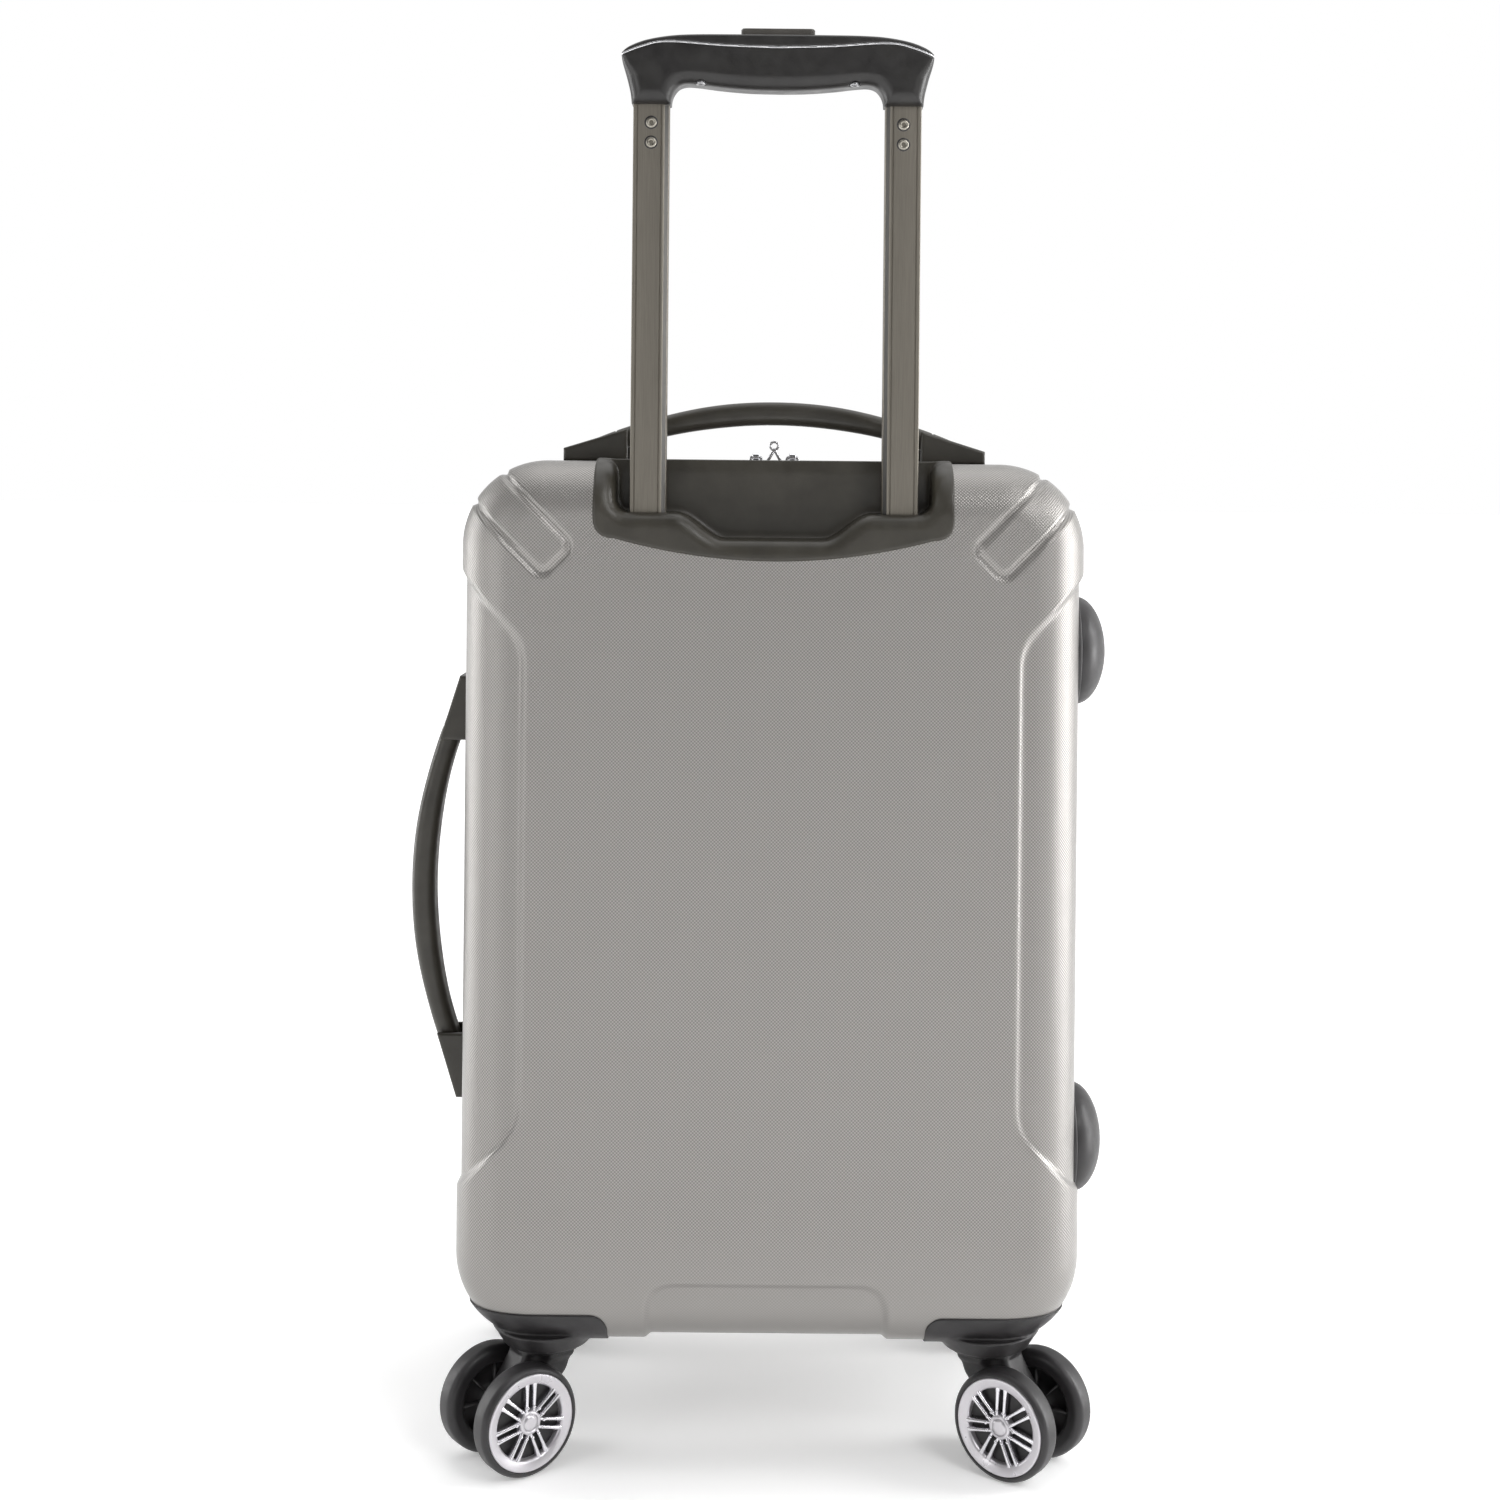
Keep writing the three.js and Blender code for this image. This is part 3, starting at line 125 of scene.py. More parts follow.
def grid_quads(rows, count, closed=True, over=False, start=0):
    """Quads between rows of count points. closed joins a row's ends, over turns the faces over."""
    row, place = np.meshgrid(np.arange(rows - 1), np.arange(count if closed else count - 1), indexing="ij")
    here = (start + row * count + place).ravel()
    after = (start + row * count + (place + 1) % count).ravel()
    corners = [here, after, after + count, here + count]
    return np.stack([corners[0], *corners[:0:-1]] if over else corners, 1)


def turned_over(shape):
    """A (verts, faces, kind) shape with its faces the other way round."""
    return shape[0], [face[::-1] for face in shape[1]], shape[2]


def turned_to(verts, along):
    """Points drawn with +x along a level direction."""
    (c, s), (x, y, z) = along, verts.T
    return np.column_stack([x * c - y * s, x * s + y * c, z])


def lathe(profile, segments=64, kind=0):
    """Turned surface about +z from (radius, height) pairs that run up the outside."""
    angle = np.linspace(0, 2 * math.pi, segments, endpoint=False)
    rings = [np.stack([r * np.cos(angle), r * np.sin(angle), np.full(segments, z)], 1) for r, z in profile]
    return np.concatenate(rings), grid_quads(len(profile), segments).tolist(), kind


def arc(cx, cz, radius, start, end, steps=6):
    """Points on an arc, angles in degrees."""
    return [
        (cx + radius * math.cos(math.radians(a)), cz + radius * math.sin(math.radians(a)))
        for a in np.linspace(start, end, steps + 1)
    ]


def prism(outline, z0, z1, edge=0.4):
    """Points and faces of a counter-clockwise outline in x and y, raised from z0 to z1 with softened ends."""
    outline = np.asarray(outline, float)
    centre = outline.mean(0)
    count = len(outline)
    span = np.abs(outline - centre).max()
    rows = []
    for z, inset in [(z0, edge), (z0 + edge, 0), (z1 - edge, 0), (z1, edge)]:
        ring = centre + (outline - centre) * (1 - inset / span)
        rows.append(np.column_stack([ring, np.full(count, z)]))
    low_end = list(range(count))[::-1]
    high_end = [3 * count + i for i in range(count)]
    return np.concatenate(rows), [*grid_quads(4, count).tolist(), low_end, high_end]


def round_corners(points, radius, steps=3):
    """A polygon with every corner rounded."""
    points = np.asarray(points, float)
    count = len(points)
    result = []
    for i in range(count):
        before, here, after = points[i - 1], points[i], points[(i + 1) % count]
        a = (before - here) / np.linalg.norm(before - here)
        b = (after - here) / np.linalg.norm(after - here)
        for t in np.linspace(0, 1, steps + 1):
            result.append(here + a * radius * (1 - t) ** 2 + b * radius * t**2)
    return np.array(result)


# ---------------------------------------------------------------- fields: signed distances in millimetres
def smooth_max(a, b, k):
    h = np.clip(0.5 - 0.5 * (b - a) / k, 0, 1)
    return b * (1 - h) + a * h + k * h * (1 - h)


def smooth_min(a, b, k):
    return -smooth_max(-a, -b, k)


def crossed(a, b):
    """Distance to what lies inside both of two surfaces that cross at right angles."""
    return np.minimum(np.maximum(a, b), 0) + np.hypot(np.maximum(a, 0), np.maximum(b, 0))


def rounded(first, second, radius):
    """Two distances crossed with a round edge of that radius."""
    return crossed(first + radius, second + radius) - radius


def box_field(x, y, z, low, high, radius=0.5):
    """A box with round edges."""
    gaps = []
    for value, a, b in zip((x, y, z), low, high):
        gaps.append(np.abs(value - (a + b) / 2) - (b - a) / 2 + radius)
    outside = np.sqrt(sum(np.maximum(g, 0) ** 2 for g in gaps))
    inside = np.minimum(np.maximum(np.maximum(gaps[0], gaps[1]), gaps[2]), 0)
    return outside + inside - radius


def polygon_field(u, v, points):
    """Distance to a closed polygon, negative inside."""
    points = np.asarray(points, float)
    shape = np.broadcast(u, v).shape
    best = np.full(shape, 1e9)
    sign = np.ones(shape)
    for i in range(len(points)):
        (ax, ay), (bx, by) = points[i], points[i - 1]
        ex, ey = bx - ax, by - ay
        wx, wy = u - ax, v - ay
        t = np.clip((wx * ex + wy * ey) / (ex * ex + ey * ey + 1e-12), 0, 1)
        best = np.minimum(best, (wx - ex * t) ** 2 + (wy - ey * t) ** 2)
        c1, c2, c3 = v >= ay, v < by, ex * wy > ey * wx
        flip = (c1 & c2 & c3) | (~c1 & ~c2 & ~c3)
        sign = np.where(flip, -sign, sign)
    return sign * np.sqrt(best)


def case_field(x, y, z):
    """Distance to the closed case's rounded block."""
    inner = CORNER_RADIUS - EDGE_RADIUS
    a = np.abs(x) - (HALF_WIDTH - CORNER_RADIUS)
    b = np.abs(z - MIDDLE_Z) - (HALF_HEIGHT - CORNER_RADIUS)
    outline = crossed(a, b) - inner
    depth = np.abs(y - (FRONT_DEPTH - BACK_DEPTH) / 2) - ((FRONT_DEPTH + BACK_DEPTH) / 2 - EDGE_RADIUS)
    return crossed(outline, depth) - EDGE_RADIUS


def isosurface(field, low, high, step):
    """Vertices and quads of the surface where field is zero, with the vertices pulled onto it."""
    axes = [np.arange(a - 1.5 * step, b + 2.5 * step, step) for a, b in zip(low, high)]
    x, y, z = np.ix_(*axes)
    value = np.broadcast_to(field(x, y, z), [len(a) for a in axes]).astype(np.float32)
    inside = value < 0
    cells = np.array(value.shape) - 1
    total = np.zeros(cells, np.int8)
    for dx, dy, dz in product((0, 1), repeat=3):
        total += inside[dx : dx + cells[0], dy : dy + cells[1], dz : dz + cells[2]]
    active = (total > 0) & (total < 8)
    index = np.full(cells, -1)
    index[active] = np.arange(active.sum())
    where = np.argwhere(active)
    place = np.zeros((len(where), 3))
    crossings = np.zeros(len(where))
    for axis in range(3):
        others = [q for q in range(3) if q != axis]
        for a, b in product((0, 1), repeat=2):
            p = where.copy()
            p[:, others[0]] += a
            p[:, others[1]] += b
            q = p.copy()
            q[:, axis] += 1
            fp, fq = value[tuple(p.T)], value[tuple(q.T)]
            cut = (fp < 0) != (fq < 0)
            t = np.where(cut, fp / np.where(cut, fp - fq, 1), 0)
            spot = p.astype(float)
            spot[:, axis] += t
            place += np.where(cut[:, None], spot, 0)
            crossings += cut
    verts = np.array([a[0] for a in axes]) + place / crossings[:, None] * step
    faces = []
    for axis in range(3):
        u, v = (axis + 1) % 3, (axis + 2) % 3
        first = [slice(None)] * 3
        second = [slice(None)] * 3
        first[axis], second[axis] = slice(0, -1), slice(1, None)
        change = np.argwhere(inside[tuple(first)] != inside[tuple(second)])
        good = (change[:, u] > 0) & (change[:, u] < cells[u]) & (change[:, v] > 0) & (change[:, v] < cells[v])
        change = change[good]
        corners = []
        for a, b in [(1, 1), (0, 1), (0, 0), (1, 0)]:
            c = change.copy()
            c[:, u] -= a
            c[:, v] -= b
            corners.append(index[tuple(c.T)])
        quads = np.stack(corners, 1)
        outward = inside[tuple(change.T)]
        quads[~outward] = quads[~outward][:, ::-1]
        faces.append(quads)
    delta = 0.05
    for _ in range(2):
        px, py, pz = verts.T
        here = field(px, py, pz)
        rises = []
        for dx, dy, dz in np.eye(3) * delta:
            rises.append(field(px + dx, py + dy, pz + dz) - field(px - dx, py - dy, pz - dz))
        slope = np.stack(rises, 1) / (2 * delta)
        shift = here[:, None] * slope / np.maximum((slope**2).sum(1), 0.2)[:, None]
        verts = verts - np.clip(shift, -0.5 * step, 0.5 * step)
    return verts, np.concatenate(faces)


def carve(name, field, low, high, step, material, body, replaces=(), move=None):
    """A piece whose surface is a field's zero."""
    verts, faces = isosurface(field, low, high, step)
    if move is not None:
        verts = move(verts)
    return build(name, verts, faces.tolist(), [material], body, replaces)


# ---------------------------------------------------------------- materials
def shader(name):
    """A new material: its nodes, its links, the surface shader and the object coordinates."""
    made = bpy.data.materials.new(name)
    made.use_nodes = True
    tree = made.node_tree
    place = tree.nodes.new("ShaderNodeTexCoord").outputs["Object"]
    return made, tree, tree.nodes["Principled BSDF"], place


def noise(tree, place, size, detail=3.0, stretch=(1, 1, 1)):
    """A noise value with features of that size in millimetres, drawn out by stretch."""
    mapping = tree.nodes.new("ShaderNodeMapping")
    mapping.inputs["Scale"].default_value = [1 / (size * MM * s) for s in stretch]
    texture = tree.nodes.new("ShaderNodeTexNoise")
    texture.inputs["Scale"].default_value = 1.0  # the mapping sets the size
    texture.inputs["Detail"].default_value = detail
    tree.links.new(place, mapping.inputs["Vector"])
    tree.links.new(mapping.outputs["Vector"], texture.inputs["Vector"])
    return texture.outputs["Fac"]


def between(tree, value, low, high, start=0.3, end=0.7):
    """Maps a value's start to end onto low to high."""
    node = tree.nodes.new("ShaderNodeMapRange")
    node.inputs["From Min"].default_value = start
    node.inputs["From Max"].default_value = end
    node.inputs["To Min"].default_value = low
    node.inputs["To Max"].default_value = high
    tree.links.new(value, node.inputs["Value"])
    return node.outputs["Result"]


def shade(tree, value, dark, light, start=0.3, end=0.7):
    """Maps a value onto two linear colours."""
    ramp = tree.nodes.new("ShaderNodeValToRGB")
    ramp.color_ramp.elements[0].position = start
    ramp.color_ramp.elements[0].color = (*dark, 1)
    ramp.color_ramp.elements[1].position = end
    ramp.color_ramp.elements[1].color = (*light, 1)
    tree.links.new(value, ramp.inputs["Fac"])
    return ramp.outputs["Color"]


def math_node(tree, operation, first, second=None):
    node = tree.nodes.new("ShaderNodeMath")
    node.operation = operation
    for socket, value in zip(node.inputs, (first, second)):
        if isinstance(value, (int, float)):
            socket.default_value = value
        elif value is not None:
            tree.links.new(value, socket)
    return node.outputs["Value"]


def crossed_waves(tree, first, second, pitch):
    """The product of two sine waves of that pitch."""
    turns = 2 * math.pi / pitch
    waves = [math_node(tree, "SINE", math_node(tree, "MULTIPLY", value, turns)) for value in (first, second)]
    return math_node(tree, "MULTIPLY", *waves)


def bump(tree, surface, height, depth):
    """Bumps of that depth in millimetres."""
    node = tree.nodes.new("ShaderNodeBump")
    node.inputs["Distance"].default_value = depth * MM
    tree.links.new(height, node.inputs["Height"])
    tree.links.new(node.outputs["Normal"], surface.inputs["Normal"])


def moulded(name, dark, light, rough, grain=0.5, depth=0.03):
    """Moulded plastic: fine grain, uneven gloss and a faint change of colour."""
    made, tree, surface, place = shader(name)
    tree.links.new(shade(tree, noise(tree, place, 18), dark, light), surface.inputs["Base Color"])
    tree.links.new(between(tree, noise(tree, place, 7), *rough), surface.inputs["Roughness"])
    bump(tree, surface, noise(tree, place, grain, 2), depth)
    return made


def metal(name, dark, light, rough, stretch=(1, 1, 1), grain=0.4, metallic=1.0):
    """Metal with marks drawn out along its length."""
    made, tree, surface, place = shader(name)
    surface.inputs["Metallic"].default_value = metallic
    marks = noise(tree, place, grain, 3, stretch)
    tree.links.new(shade(tree, marks, dark, light), surface.inputs["Base Color"])
    tree.links.new(between(tree, noise(tree, place, 9, 3, stretch), *rough), surface.inputs["Roughness"])
    bump(tree, surface, marks, MARK_DEPTH)
    return made


def woven(name, dark, light, pitch, depth, sheen=0.2):
    """Cloth: two crossing sets of threads of that pitch in millimetres. Its colour is painted shade of the
    weave, darker where the threads dip, with random tone from fine noise.
    """
    made, tree, surface, place = shader(name)
    surface.inputs["Sheen Weight"].default_value = sheen
    split = tree.nodes.new("ShaderNodeSeparateXYZ")
    tree.links.new(place, split.inputs["Vector"])
    threads = crossed_waves(tree, split.outputs["X"], split.outputs["Z"], pitch * MM)
    height = math_node(tree, "ADD", math_node(tree, "MULTIPLY", threads, 0.35), noise(tree, place, 0.3, 2))
    # painted shade: the colour follows the weave's height, darker where the threads dip; the fine noise in it
    # is random tone
    tree.links.new(shade(tree, height, dark, light, 0.2, 0.85), surface.inputs["Base Color"])
    tree.links.new(between(tree, noise(tree, place, 12), 0.8, 0.95), surface.inputs["Roughness"])
    bump(tree, surface, height, depth)
    return made


def embossed_shell():
    """Satin silver plastic, embossed with fine dots in slanting rows that fade out towards the floor. Its
    colour holds painted shade and highlight: darker in the dots' hollows, lighter on their tops.
    """
    made, tree, surface, place = shader("shell_silver")
    surface.inputs["Metallic"].default_value = 0.6
    surface.inputs["Coat Weight"].default_value = 0.15
    surface.inputs["Coat Roughness"].default_value = 0.3
    unrolled = tree.nodes.new("ShaderNodeUVMap")
    unrolled.uv_map = "surface"
    split = tree.nodes.new("ShaderNodeSeparateXYZ")
    tree.links.new(unrolled.outputs["UV"], split.inputs["Vector"])
    dots = crossed_waves(tree, split.outputs["X"], split.outputs["Y"], GRID_PITCH)
    fade = between(tree, split.outputs["Y"], FADED_DEPTH, 1.0, -HALF_HEIGHT * 0.93, -HALF_HEIGHT * 0.72)
    relief = math_node(tree, "MULTIPLY", dots, fade)
    fine = math_node(tree, "MULTIPLY", noise(tree, place, 0.4, 2), 0.25)
    # painted shade and highlight: the colour follows the dots' height, darker in their hollows and lighter on
    # their tops
    dot_shade = between(tree, relief, 0.0, 1.0, -1.0, 1.0)
    colour = shade(tree, dot_shade, (0.18, 0.173, 0.165), (0.385, 0.37, 0.354), 0.1, 0.9)
    tree.links.new(colour, surface.inputs["Base Color"])
    height = math_node(tree, "ADD", relief, fine)
    tree.links.new(between(tree, noise(tree, place, 4), 0.3, 0.36), surface.inputs["Roughness"])
    bump(tree, surface, height, GRID_DEPTH)
    return made


GRID_PITCH = 1.9
GRID_DEPTH = 0.07
MARK_DEPTH = 0.01
FADED_DEPTH = 0.12
shell_silver = embossed_shell()
dark_plastic = moulded("dark_plastic", (0.026, 0.023, 0.017), (0.039, 0.035, 0.027), (0.32, 0.44))
# a darker copy of dark_plastic for the trolley grip: painted shade, as the grip faces away from the light
grip_shaded_plastic = moulded("grip_shaded_plastic", (0.011, 0.01, 0.01), (0.019, 0.018, 0.017), (0.3, 0.42))
black_plastic = moulded("black_plastic", (0.014, 0.013, 0.014), (0.024, 0.022, 0.023), (0.38, 0.52))
button_plastic = moulded("button_plastic", (0.06, 0.055, 0.048), (0.08, 0.074, 0.066), (0.3, 0.42))
gunmetal = metal("gunmetal", (0.185, 0.17, 0.145), (0.225, 0.208, 0.178), (0.42, 0.52), (1, 1, 60), 0.3)
# a darker copy of the gunmetal for the inner tubes' slanted faces: painted shade
tube_chamfer_shade = metal("tube_chamfer_shade", (0.075, 0.073, 0.07), (0.1, 0.097, 0.093), (0.42, 0.52), (1, 1, 60), 0.3)
rivet_metal = metal("rivet_metal", (0.3, 0.28, 0.24), (0.42, 0.4, 0.35), (0.24, 0.36), grain=1)
bright_chrome = metal("bright_chrome", (0.72, 0.72, 0.74), (0.8, 0.8, 0.82), (0.08, 0.2), grain=2)
plain_steel = metal("plain_steel", (0.3, 0.3, 0.31), (0.42, 0.42, 0.43), (0.28, 0.42))
hub_silver = metal(
    "hub_silver", (0.6, 0.58, 0.61), (0.68, 0.66, 0.69), (0.26, 0.36), grain=0.15, metallic=0.7)
tyre_rubber = moulded("tyre_rubber", (0.016, 0.015, 0.016), (0.028, 0.026, 0.028), (0.36, 0.48), 0.35, 0.03)
zip_cloth = woven("zip_cloth", (0.008, 0.008, 0.01), (0.03, 0.03, 0.034), 0.9, 0.12)
zip_plastic = moulded("zip_plastic", (0.012, 0.012, 0.014), (0.03, 0.03, 0.033), (0.3, 0.42))
lining_cloth = woven("lining_cloth", (0.045, 0.046, 0.055), (0.1, 0.1, 0.115), 1.1, 0.12, sheen=0.3)
strap_cloth = woven("strap_cloth", (0.01, 0.01, 0.012), (0.035, 0.035, 0.04), 2.2, 0.3)


# ---------------------------------------------------------------- shells
PANEL_X = HALF_WIDTH - 38
PANEL_LOW, PANEL_HIGH = BOTTOM + 85.5, TOP - 62.5
PANEL_CHAMFER = 38.0
CHANNEL_HALF_WIDTH = 66.5
CHANNEL_TOP = BOTTOM + 38
STEP_WIDTH = 4.0
PAD_HALF_WIDTH, PAD_REACH = 9.5, 77.0
GROOVE_DEPTH, GROOVE_HALF_WIDTH = 2.1, 3.0


def relief(x, z):
    """How far the outside is sunk at a point of the case's outline or face."""
    x = np.abs(x)
    across = PANEL_X - x
    upper = (z - (PANEL_HIGH - PANEL_CHAMFER) - (x - PANEL_X)) / math.sqrt(2)
    lower = ((PANEL_LOW + PANEL_CHAMFER) - (x - PANEL_X) - z) / math.sqrt(2)
    panel = smooth_max(smooth_max(across, upper, 9), lower, 9)
    channel = smooth_max(x - CHANNEL_HALF_WIDTH, z - CHANNEL_TOP, 16)
    nearest = np.minimum(panel, channel)
    t = np.clip((1.5 - nearest) / STEP_WIDTH, 0, 1)
    sunk = RELIEF_DEPTH * t * t * (3 - 2 * t)
    gap_x, gap_z = HALF_WIDTH - x, TOP - z
    along, aside = (gap_x + gap_z) / math.sqrt(2), (gap_x - gap_z) / math.sqrt(2)
    to_pad = rounded(np.abs(aside) - PAD_HALF_WIDTH, along - PAD_REACH, 4)
    off = np.clip(np.abs(to_pad - 2.25) / GROOVE_HALF_WIDTH, 0, 1)
    return sunk + GROOVE_DEPTH * np.cos(off * math.pi / 2) ** 2


def steps(*stretches):
    """Grid lines along a span, from (start, end, spacing) stretches in a row."""
    values = [np.linspace(a, b, max(2, round((b - a) / s) + 1))[:-1] for a, b, s in stretches]
    return np.append(np.concatenate(values), stretches[-1][1])


def shell_skin(face_side, depth, fine, drop):
    """One half shell: its outside, its rim and the band inside the rim. drop marks what is cut away."""
    a, b = HALF_WIDTH - CORNER_RADIUS, HALF_HEIGHT - CORNER_RADIUS
    right = [(50, 76, fine), (76, 95, 3), (95, a, fine)]
    left = [(-end, -start, spacing) for start, end, spacing in reversed(right)]
    xs = steps(*left, (-50, 50, 6), *right)
    low, high = PANEL_LOW + PANEL_CHAMFER, PANEL_HIGH - PANEL_CHAMFER
    z0, z1 = MIDDLE_Z - b, MIDDLE_Z + b
    zs = steps((z0, low + 10, fine * 1.2), (low + 10, high - 10, 6), (high - 10, z1, fine * 1.2))
    sector = np.linspace(0, 90, int(CORNER_RADIUS * math.pi / 2 / fine))[1:-1]
    base, turn = [], []
    runs = [(xs, lambda v: (v, z0), -90), (zs, lambda v: (a, v), 0), (xs[::-1], lambda v: (v, z1), 90)]
    runs.append((zs[::-1], lambda v: (-a, v), 180))
    for values, point, angle in runs:
        base += [point(v) for v in values]
        turn += [angle] * len(values)
        base += [point(values[-1])] * len(sector)
        turn += [angle + s for s in sector]
    base, turn = np.array(base), np.radians(turn)
    outward = np.stack([np.cos(turn), np.sin(turn)], 1)
    flat = CORNER_RADIUS - EDGE_RADIUS
    profile = [(r, depth, 0.0, r) for r in np.linspace(0, flat, int(flat / fine) + 1)[:-1]]
    for angle in np.linspace(0, math.pi / 2, int(EDGE_RADIUS * math.pi / 2 / fine) + 1):
        reach = flat + EDGE_RADIUS * math.sin(angle)
        y = depth - EDGE_RADIUS * (1 - math.cos(angle))
        profile.append((reach, y, angle, flat + EDGE_RADIUS * angle))
    unrolled = profile[-1][3]
    for y in np.linspace(depth - EDGE_RADIUS, SEAM_HALF + 0.8, 16)[1:]:
        profile.append((CORNER_RADIUS, y, math.pi / 2, unrolled + depth - EDGE_RADIUS - y))
    last = profile[-1][3]
    verts, uvs = [], []
    for reach, y, angle, run in profile:
        spot = base + outward * reach
        sunk = relief(spot[:, 0], spot[:, 1])
        spot = spot - outward * (sunk * math.sin(angle))[:, None]
        verts.append(np.column_stack([spot[:, 0], face_side * (y - sunk * math.cos(angle)), spot[:, 1]]))
        uvs.append(base + outward * run - [0, MIDDLE_Z])
    rim = [(0.8, SEAM_HALF), (SHELL_WALL - 0.6, SEAM_HALF), (SHELL_WALL, SEAM_HALF + 0.6), (SHELL_WALL, 24)]
    for inset, y in rim:
        spot = base + outward * CORNER_RADIUS
        spot = spot - outward * (relief(spot[:, 0], spot[:, 1]) + inset)[:, None]
        verts.append(np.column_stack([spot[:, 0], np.full(len(spot), face_side * y), spot[:, 1]]))
        uvs.append(base + outward * (last + inset) - [0, MIDDLE_Z])
    rows, count = len(verts), len(base)
    quads = [grid_quads(rows, count, over=True)]
    gx, gz = np.meshgrid(xs, zs, indexing="ij")
    sunk = relief(gx, gz)
    grid = np.column_stack([gx.ravel(), (face_side * (depth - sunk)).ravel(), gz.ravel()])
    quads.append(grid_quads(len(xs), len(zs), closed=False, over=True, start=rows * count))
    verts = np.concatenate([*verts, grid])
    uvs = np.concatenate([*uvs, np.column_stack([gx.ravel(), gz.ravel() - MIDDLE_Z])])
    quads = np.concatenate(quads)
    if face_side > 0:
        quads = quads[:, ::-1]
    middles = verts[quads].mean(1)
    quads = quads[~drop(*middles.T)]
    return verts, quads, uvs


def weld(piece, distance=0.02):
    """Joins the points of a piece that lie on each other."""
    work = bmesh.new()
    work.from_mesh(piece.data)
    bmesh.ops.remove_doubles(work, verts=work.verts, dist=distance * MM)
    work.to_mesh(piece.data)
    work.free()
    piece.data.update()


# the bezel let into the trolley side's top, as seen from that side
bezel_low, bezel_high = node_box("trolley_bezel")
BEZEL_HALF_WIDTH = (bezel_high[0] - bezel_low[0]) / 2
BEZEL_FRONT_Y = bezel_high[1]
BEZEL_SIDE_Z = TOP - 43


def curve(p, q, r, count):
    """Points on a quadratic curve from p to r, without its end."""
    p, q, r = (np.array(v, float) for v in (p, q, r))
    return [tuple(p * (1 - t) ** 2 + 2 * q * t * (1 - t) + r * t * t) for t in np.arange(count) / count]


def bezel_outline():
    w, side, corner = BEZEL_HALF_WIDTH, BEZEL_SIDE_Z, 12
    left = curve((-w, side + corner), (-w, side), (corner - w, side), 6)
    middle = curve((corner - w, side), (0, side - 24), (w - corner, side), 24)
    right = curve((w - corner, side), (w, side), (w, side + corner), 6)
    return [(-w, TOP + 60), *left, *middle, *right, (w, side + corner), (w, TOP + 60)]


BEZEL_OUTLINE = bezel_outline()


def behind_bezel(x, y, z):
    return (polygon_field(x, z, BEZEL_OUTLINE) < -4) & (y < BEZEL_FRONT_Y - 1.5)


for name, body, side, depth, spacing, drop in [
    ("back_shell", "case", -1, BACK_DEPTH, 1.25, behind_bezel),
    ("front_shell", "lid", 1, FRONT_DEPTH, 1.4, lambda x, y, z: np.zeros(len(x), bool)),
]:
    verts, quads, uvs = shell_skin(side, depth, spacing, drop)
    skin = build(f"{name}_skin", verts, quads.tolist(), [shell_silver], body, [name], uv=uvs)
    weld(skin)


# ---------------------------------------------------------------- trolley bezel
POCKET_Y = BEZEL_FRONT_Y - 3
LIP_Z = TOP - 28.5
SCOOP_DROP, SCOOP_HALF_WIDTH, SCOOP_RAMP = 14.5, 55, 28
TUBE_HOLE_GAP = 0.6
tube_low, tube_high = node_box("inner_tube_left")
TUBE_X = -(tube_low[0] + tube_high[0]) / 2
TUBE_Y = (tube_low[1] + tube_high[1]) / 2
TUBE_WIDTH = tube_high[0] - tube_low[0]
TUBE_DEPTH = tube_high[1] - tube_low[1]
mid_low, mid_high = node_box("mid_tube_left")


def pocket_outline():
    side, floor = BEZEL_HALF_WIDTH - 12, LIP_Z
    t = np.linspace(0, 1, 14)
    ramp = [(SCOOP_HALF_WIDTH - SCOOP_RAMP * s, floor - SCOOP_DROP * (3 * s * s - 2 * s**3)) for s in t]
    bend = curve((side, floor + 9), (side, floor), (side - 9, floor), 5)
    right = [(side, TOP + 80), *bend, (side - 9, floor), *ramp]
    return right + [(-x, z) for x, z in reversed(right)]


POCKET_OUTLINE = pocket_outline()


def bezel_field(x, y, z):
    body = rounded(case_field(x, y, z) - 1, polygon_field(x, z, BEZEL_OUTLINE), 1.6)
    pocket = smooth_max(polygon_field(x, z, POCKET_OUTLINE), y - POCKET_Y, 4)
    body = smooth_max(body, -pocket, 9)
    wall = rounded(polygon_field(x, z, BEZEL_OUTLINE) + 1, case_field(x, y, z) - 1, 1.2)
    body = smooth_min(body, np.maximum(wall, np.abs(y - POCKET_Y - 1.5) - 1.5), 3)
    body = np.maximum(body, y - BEZEL_FRONT_Y)
    width, depth = (mid_high - mid_low)[:2] / 2 + TUBE_HOLE_GAP
    hole = np.maximum(np.abs(np.abs(x) - TUBE_X) - width, np.abs(y - TUBE_Y) - depth)
    return smooth_max(body, -hole, 0.8)


carve(
    "bezel", bezel_field,
    (-BEZEL_HALF_WIDTH - 1, -BACK_DEPTH - 2, bezel_low[2] - 1),
    (BEZEL_HALF_WIDTH + 1, BEZEL_FRONT_Y + 1, TOP + 2),
    0.8, dark_plastic, "case", ["trolley_bezel"],
)


# ---------------------------------------------------------------- trolley tubes
def tube_outline(width, depth, chamfer, grooves):
    """A tube's section with its inner side towards +x; grooves are the lines drawn along its rear face."""
    w, d = width / 2, depth / 2
    corners = [(-w, -d), (w - chamfer, -d), (w, chamfer - d), (w, d), (-w, d)] if chamfer else []
    corners = corners or [(-w, -d), (w, -d), (w, d), (-w, d)]
    outline = round_corners(corners, 0.7 if chamfer else 1.2).tolist()
    at = next(i for i, (a, b) in enumerate(outline) if b == -d and a > -w + 0.6) if grooves else 0
    cut = [(g + o, -d + (0.35 if abs(o) < 0.2 else 0)) for g in grooves for o in (-0.35, -0.12, 0.12, 0.35)]
    return np.array(outline[: at + 1] + cut + outline[at + 1 :]) if grooves else np.array(outline)


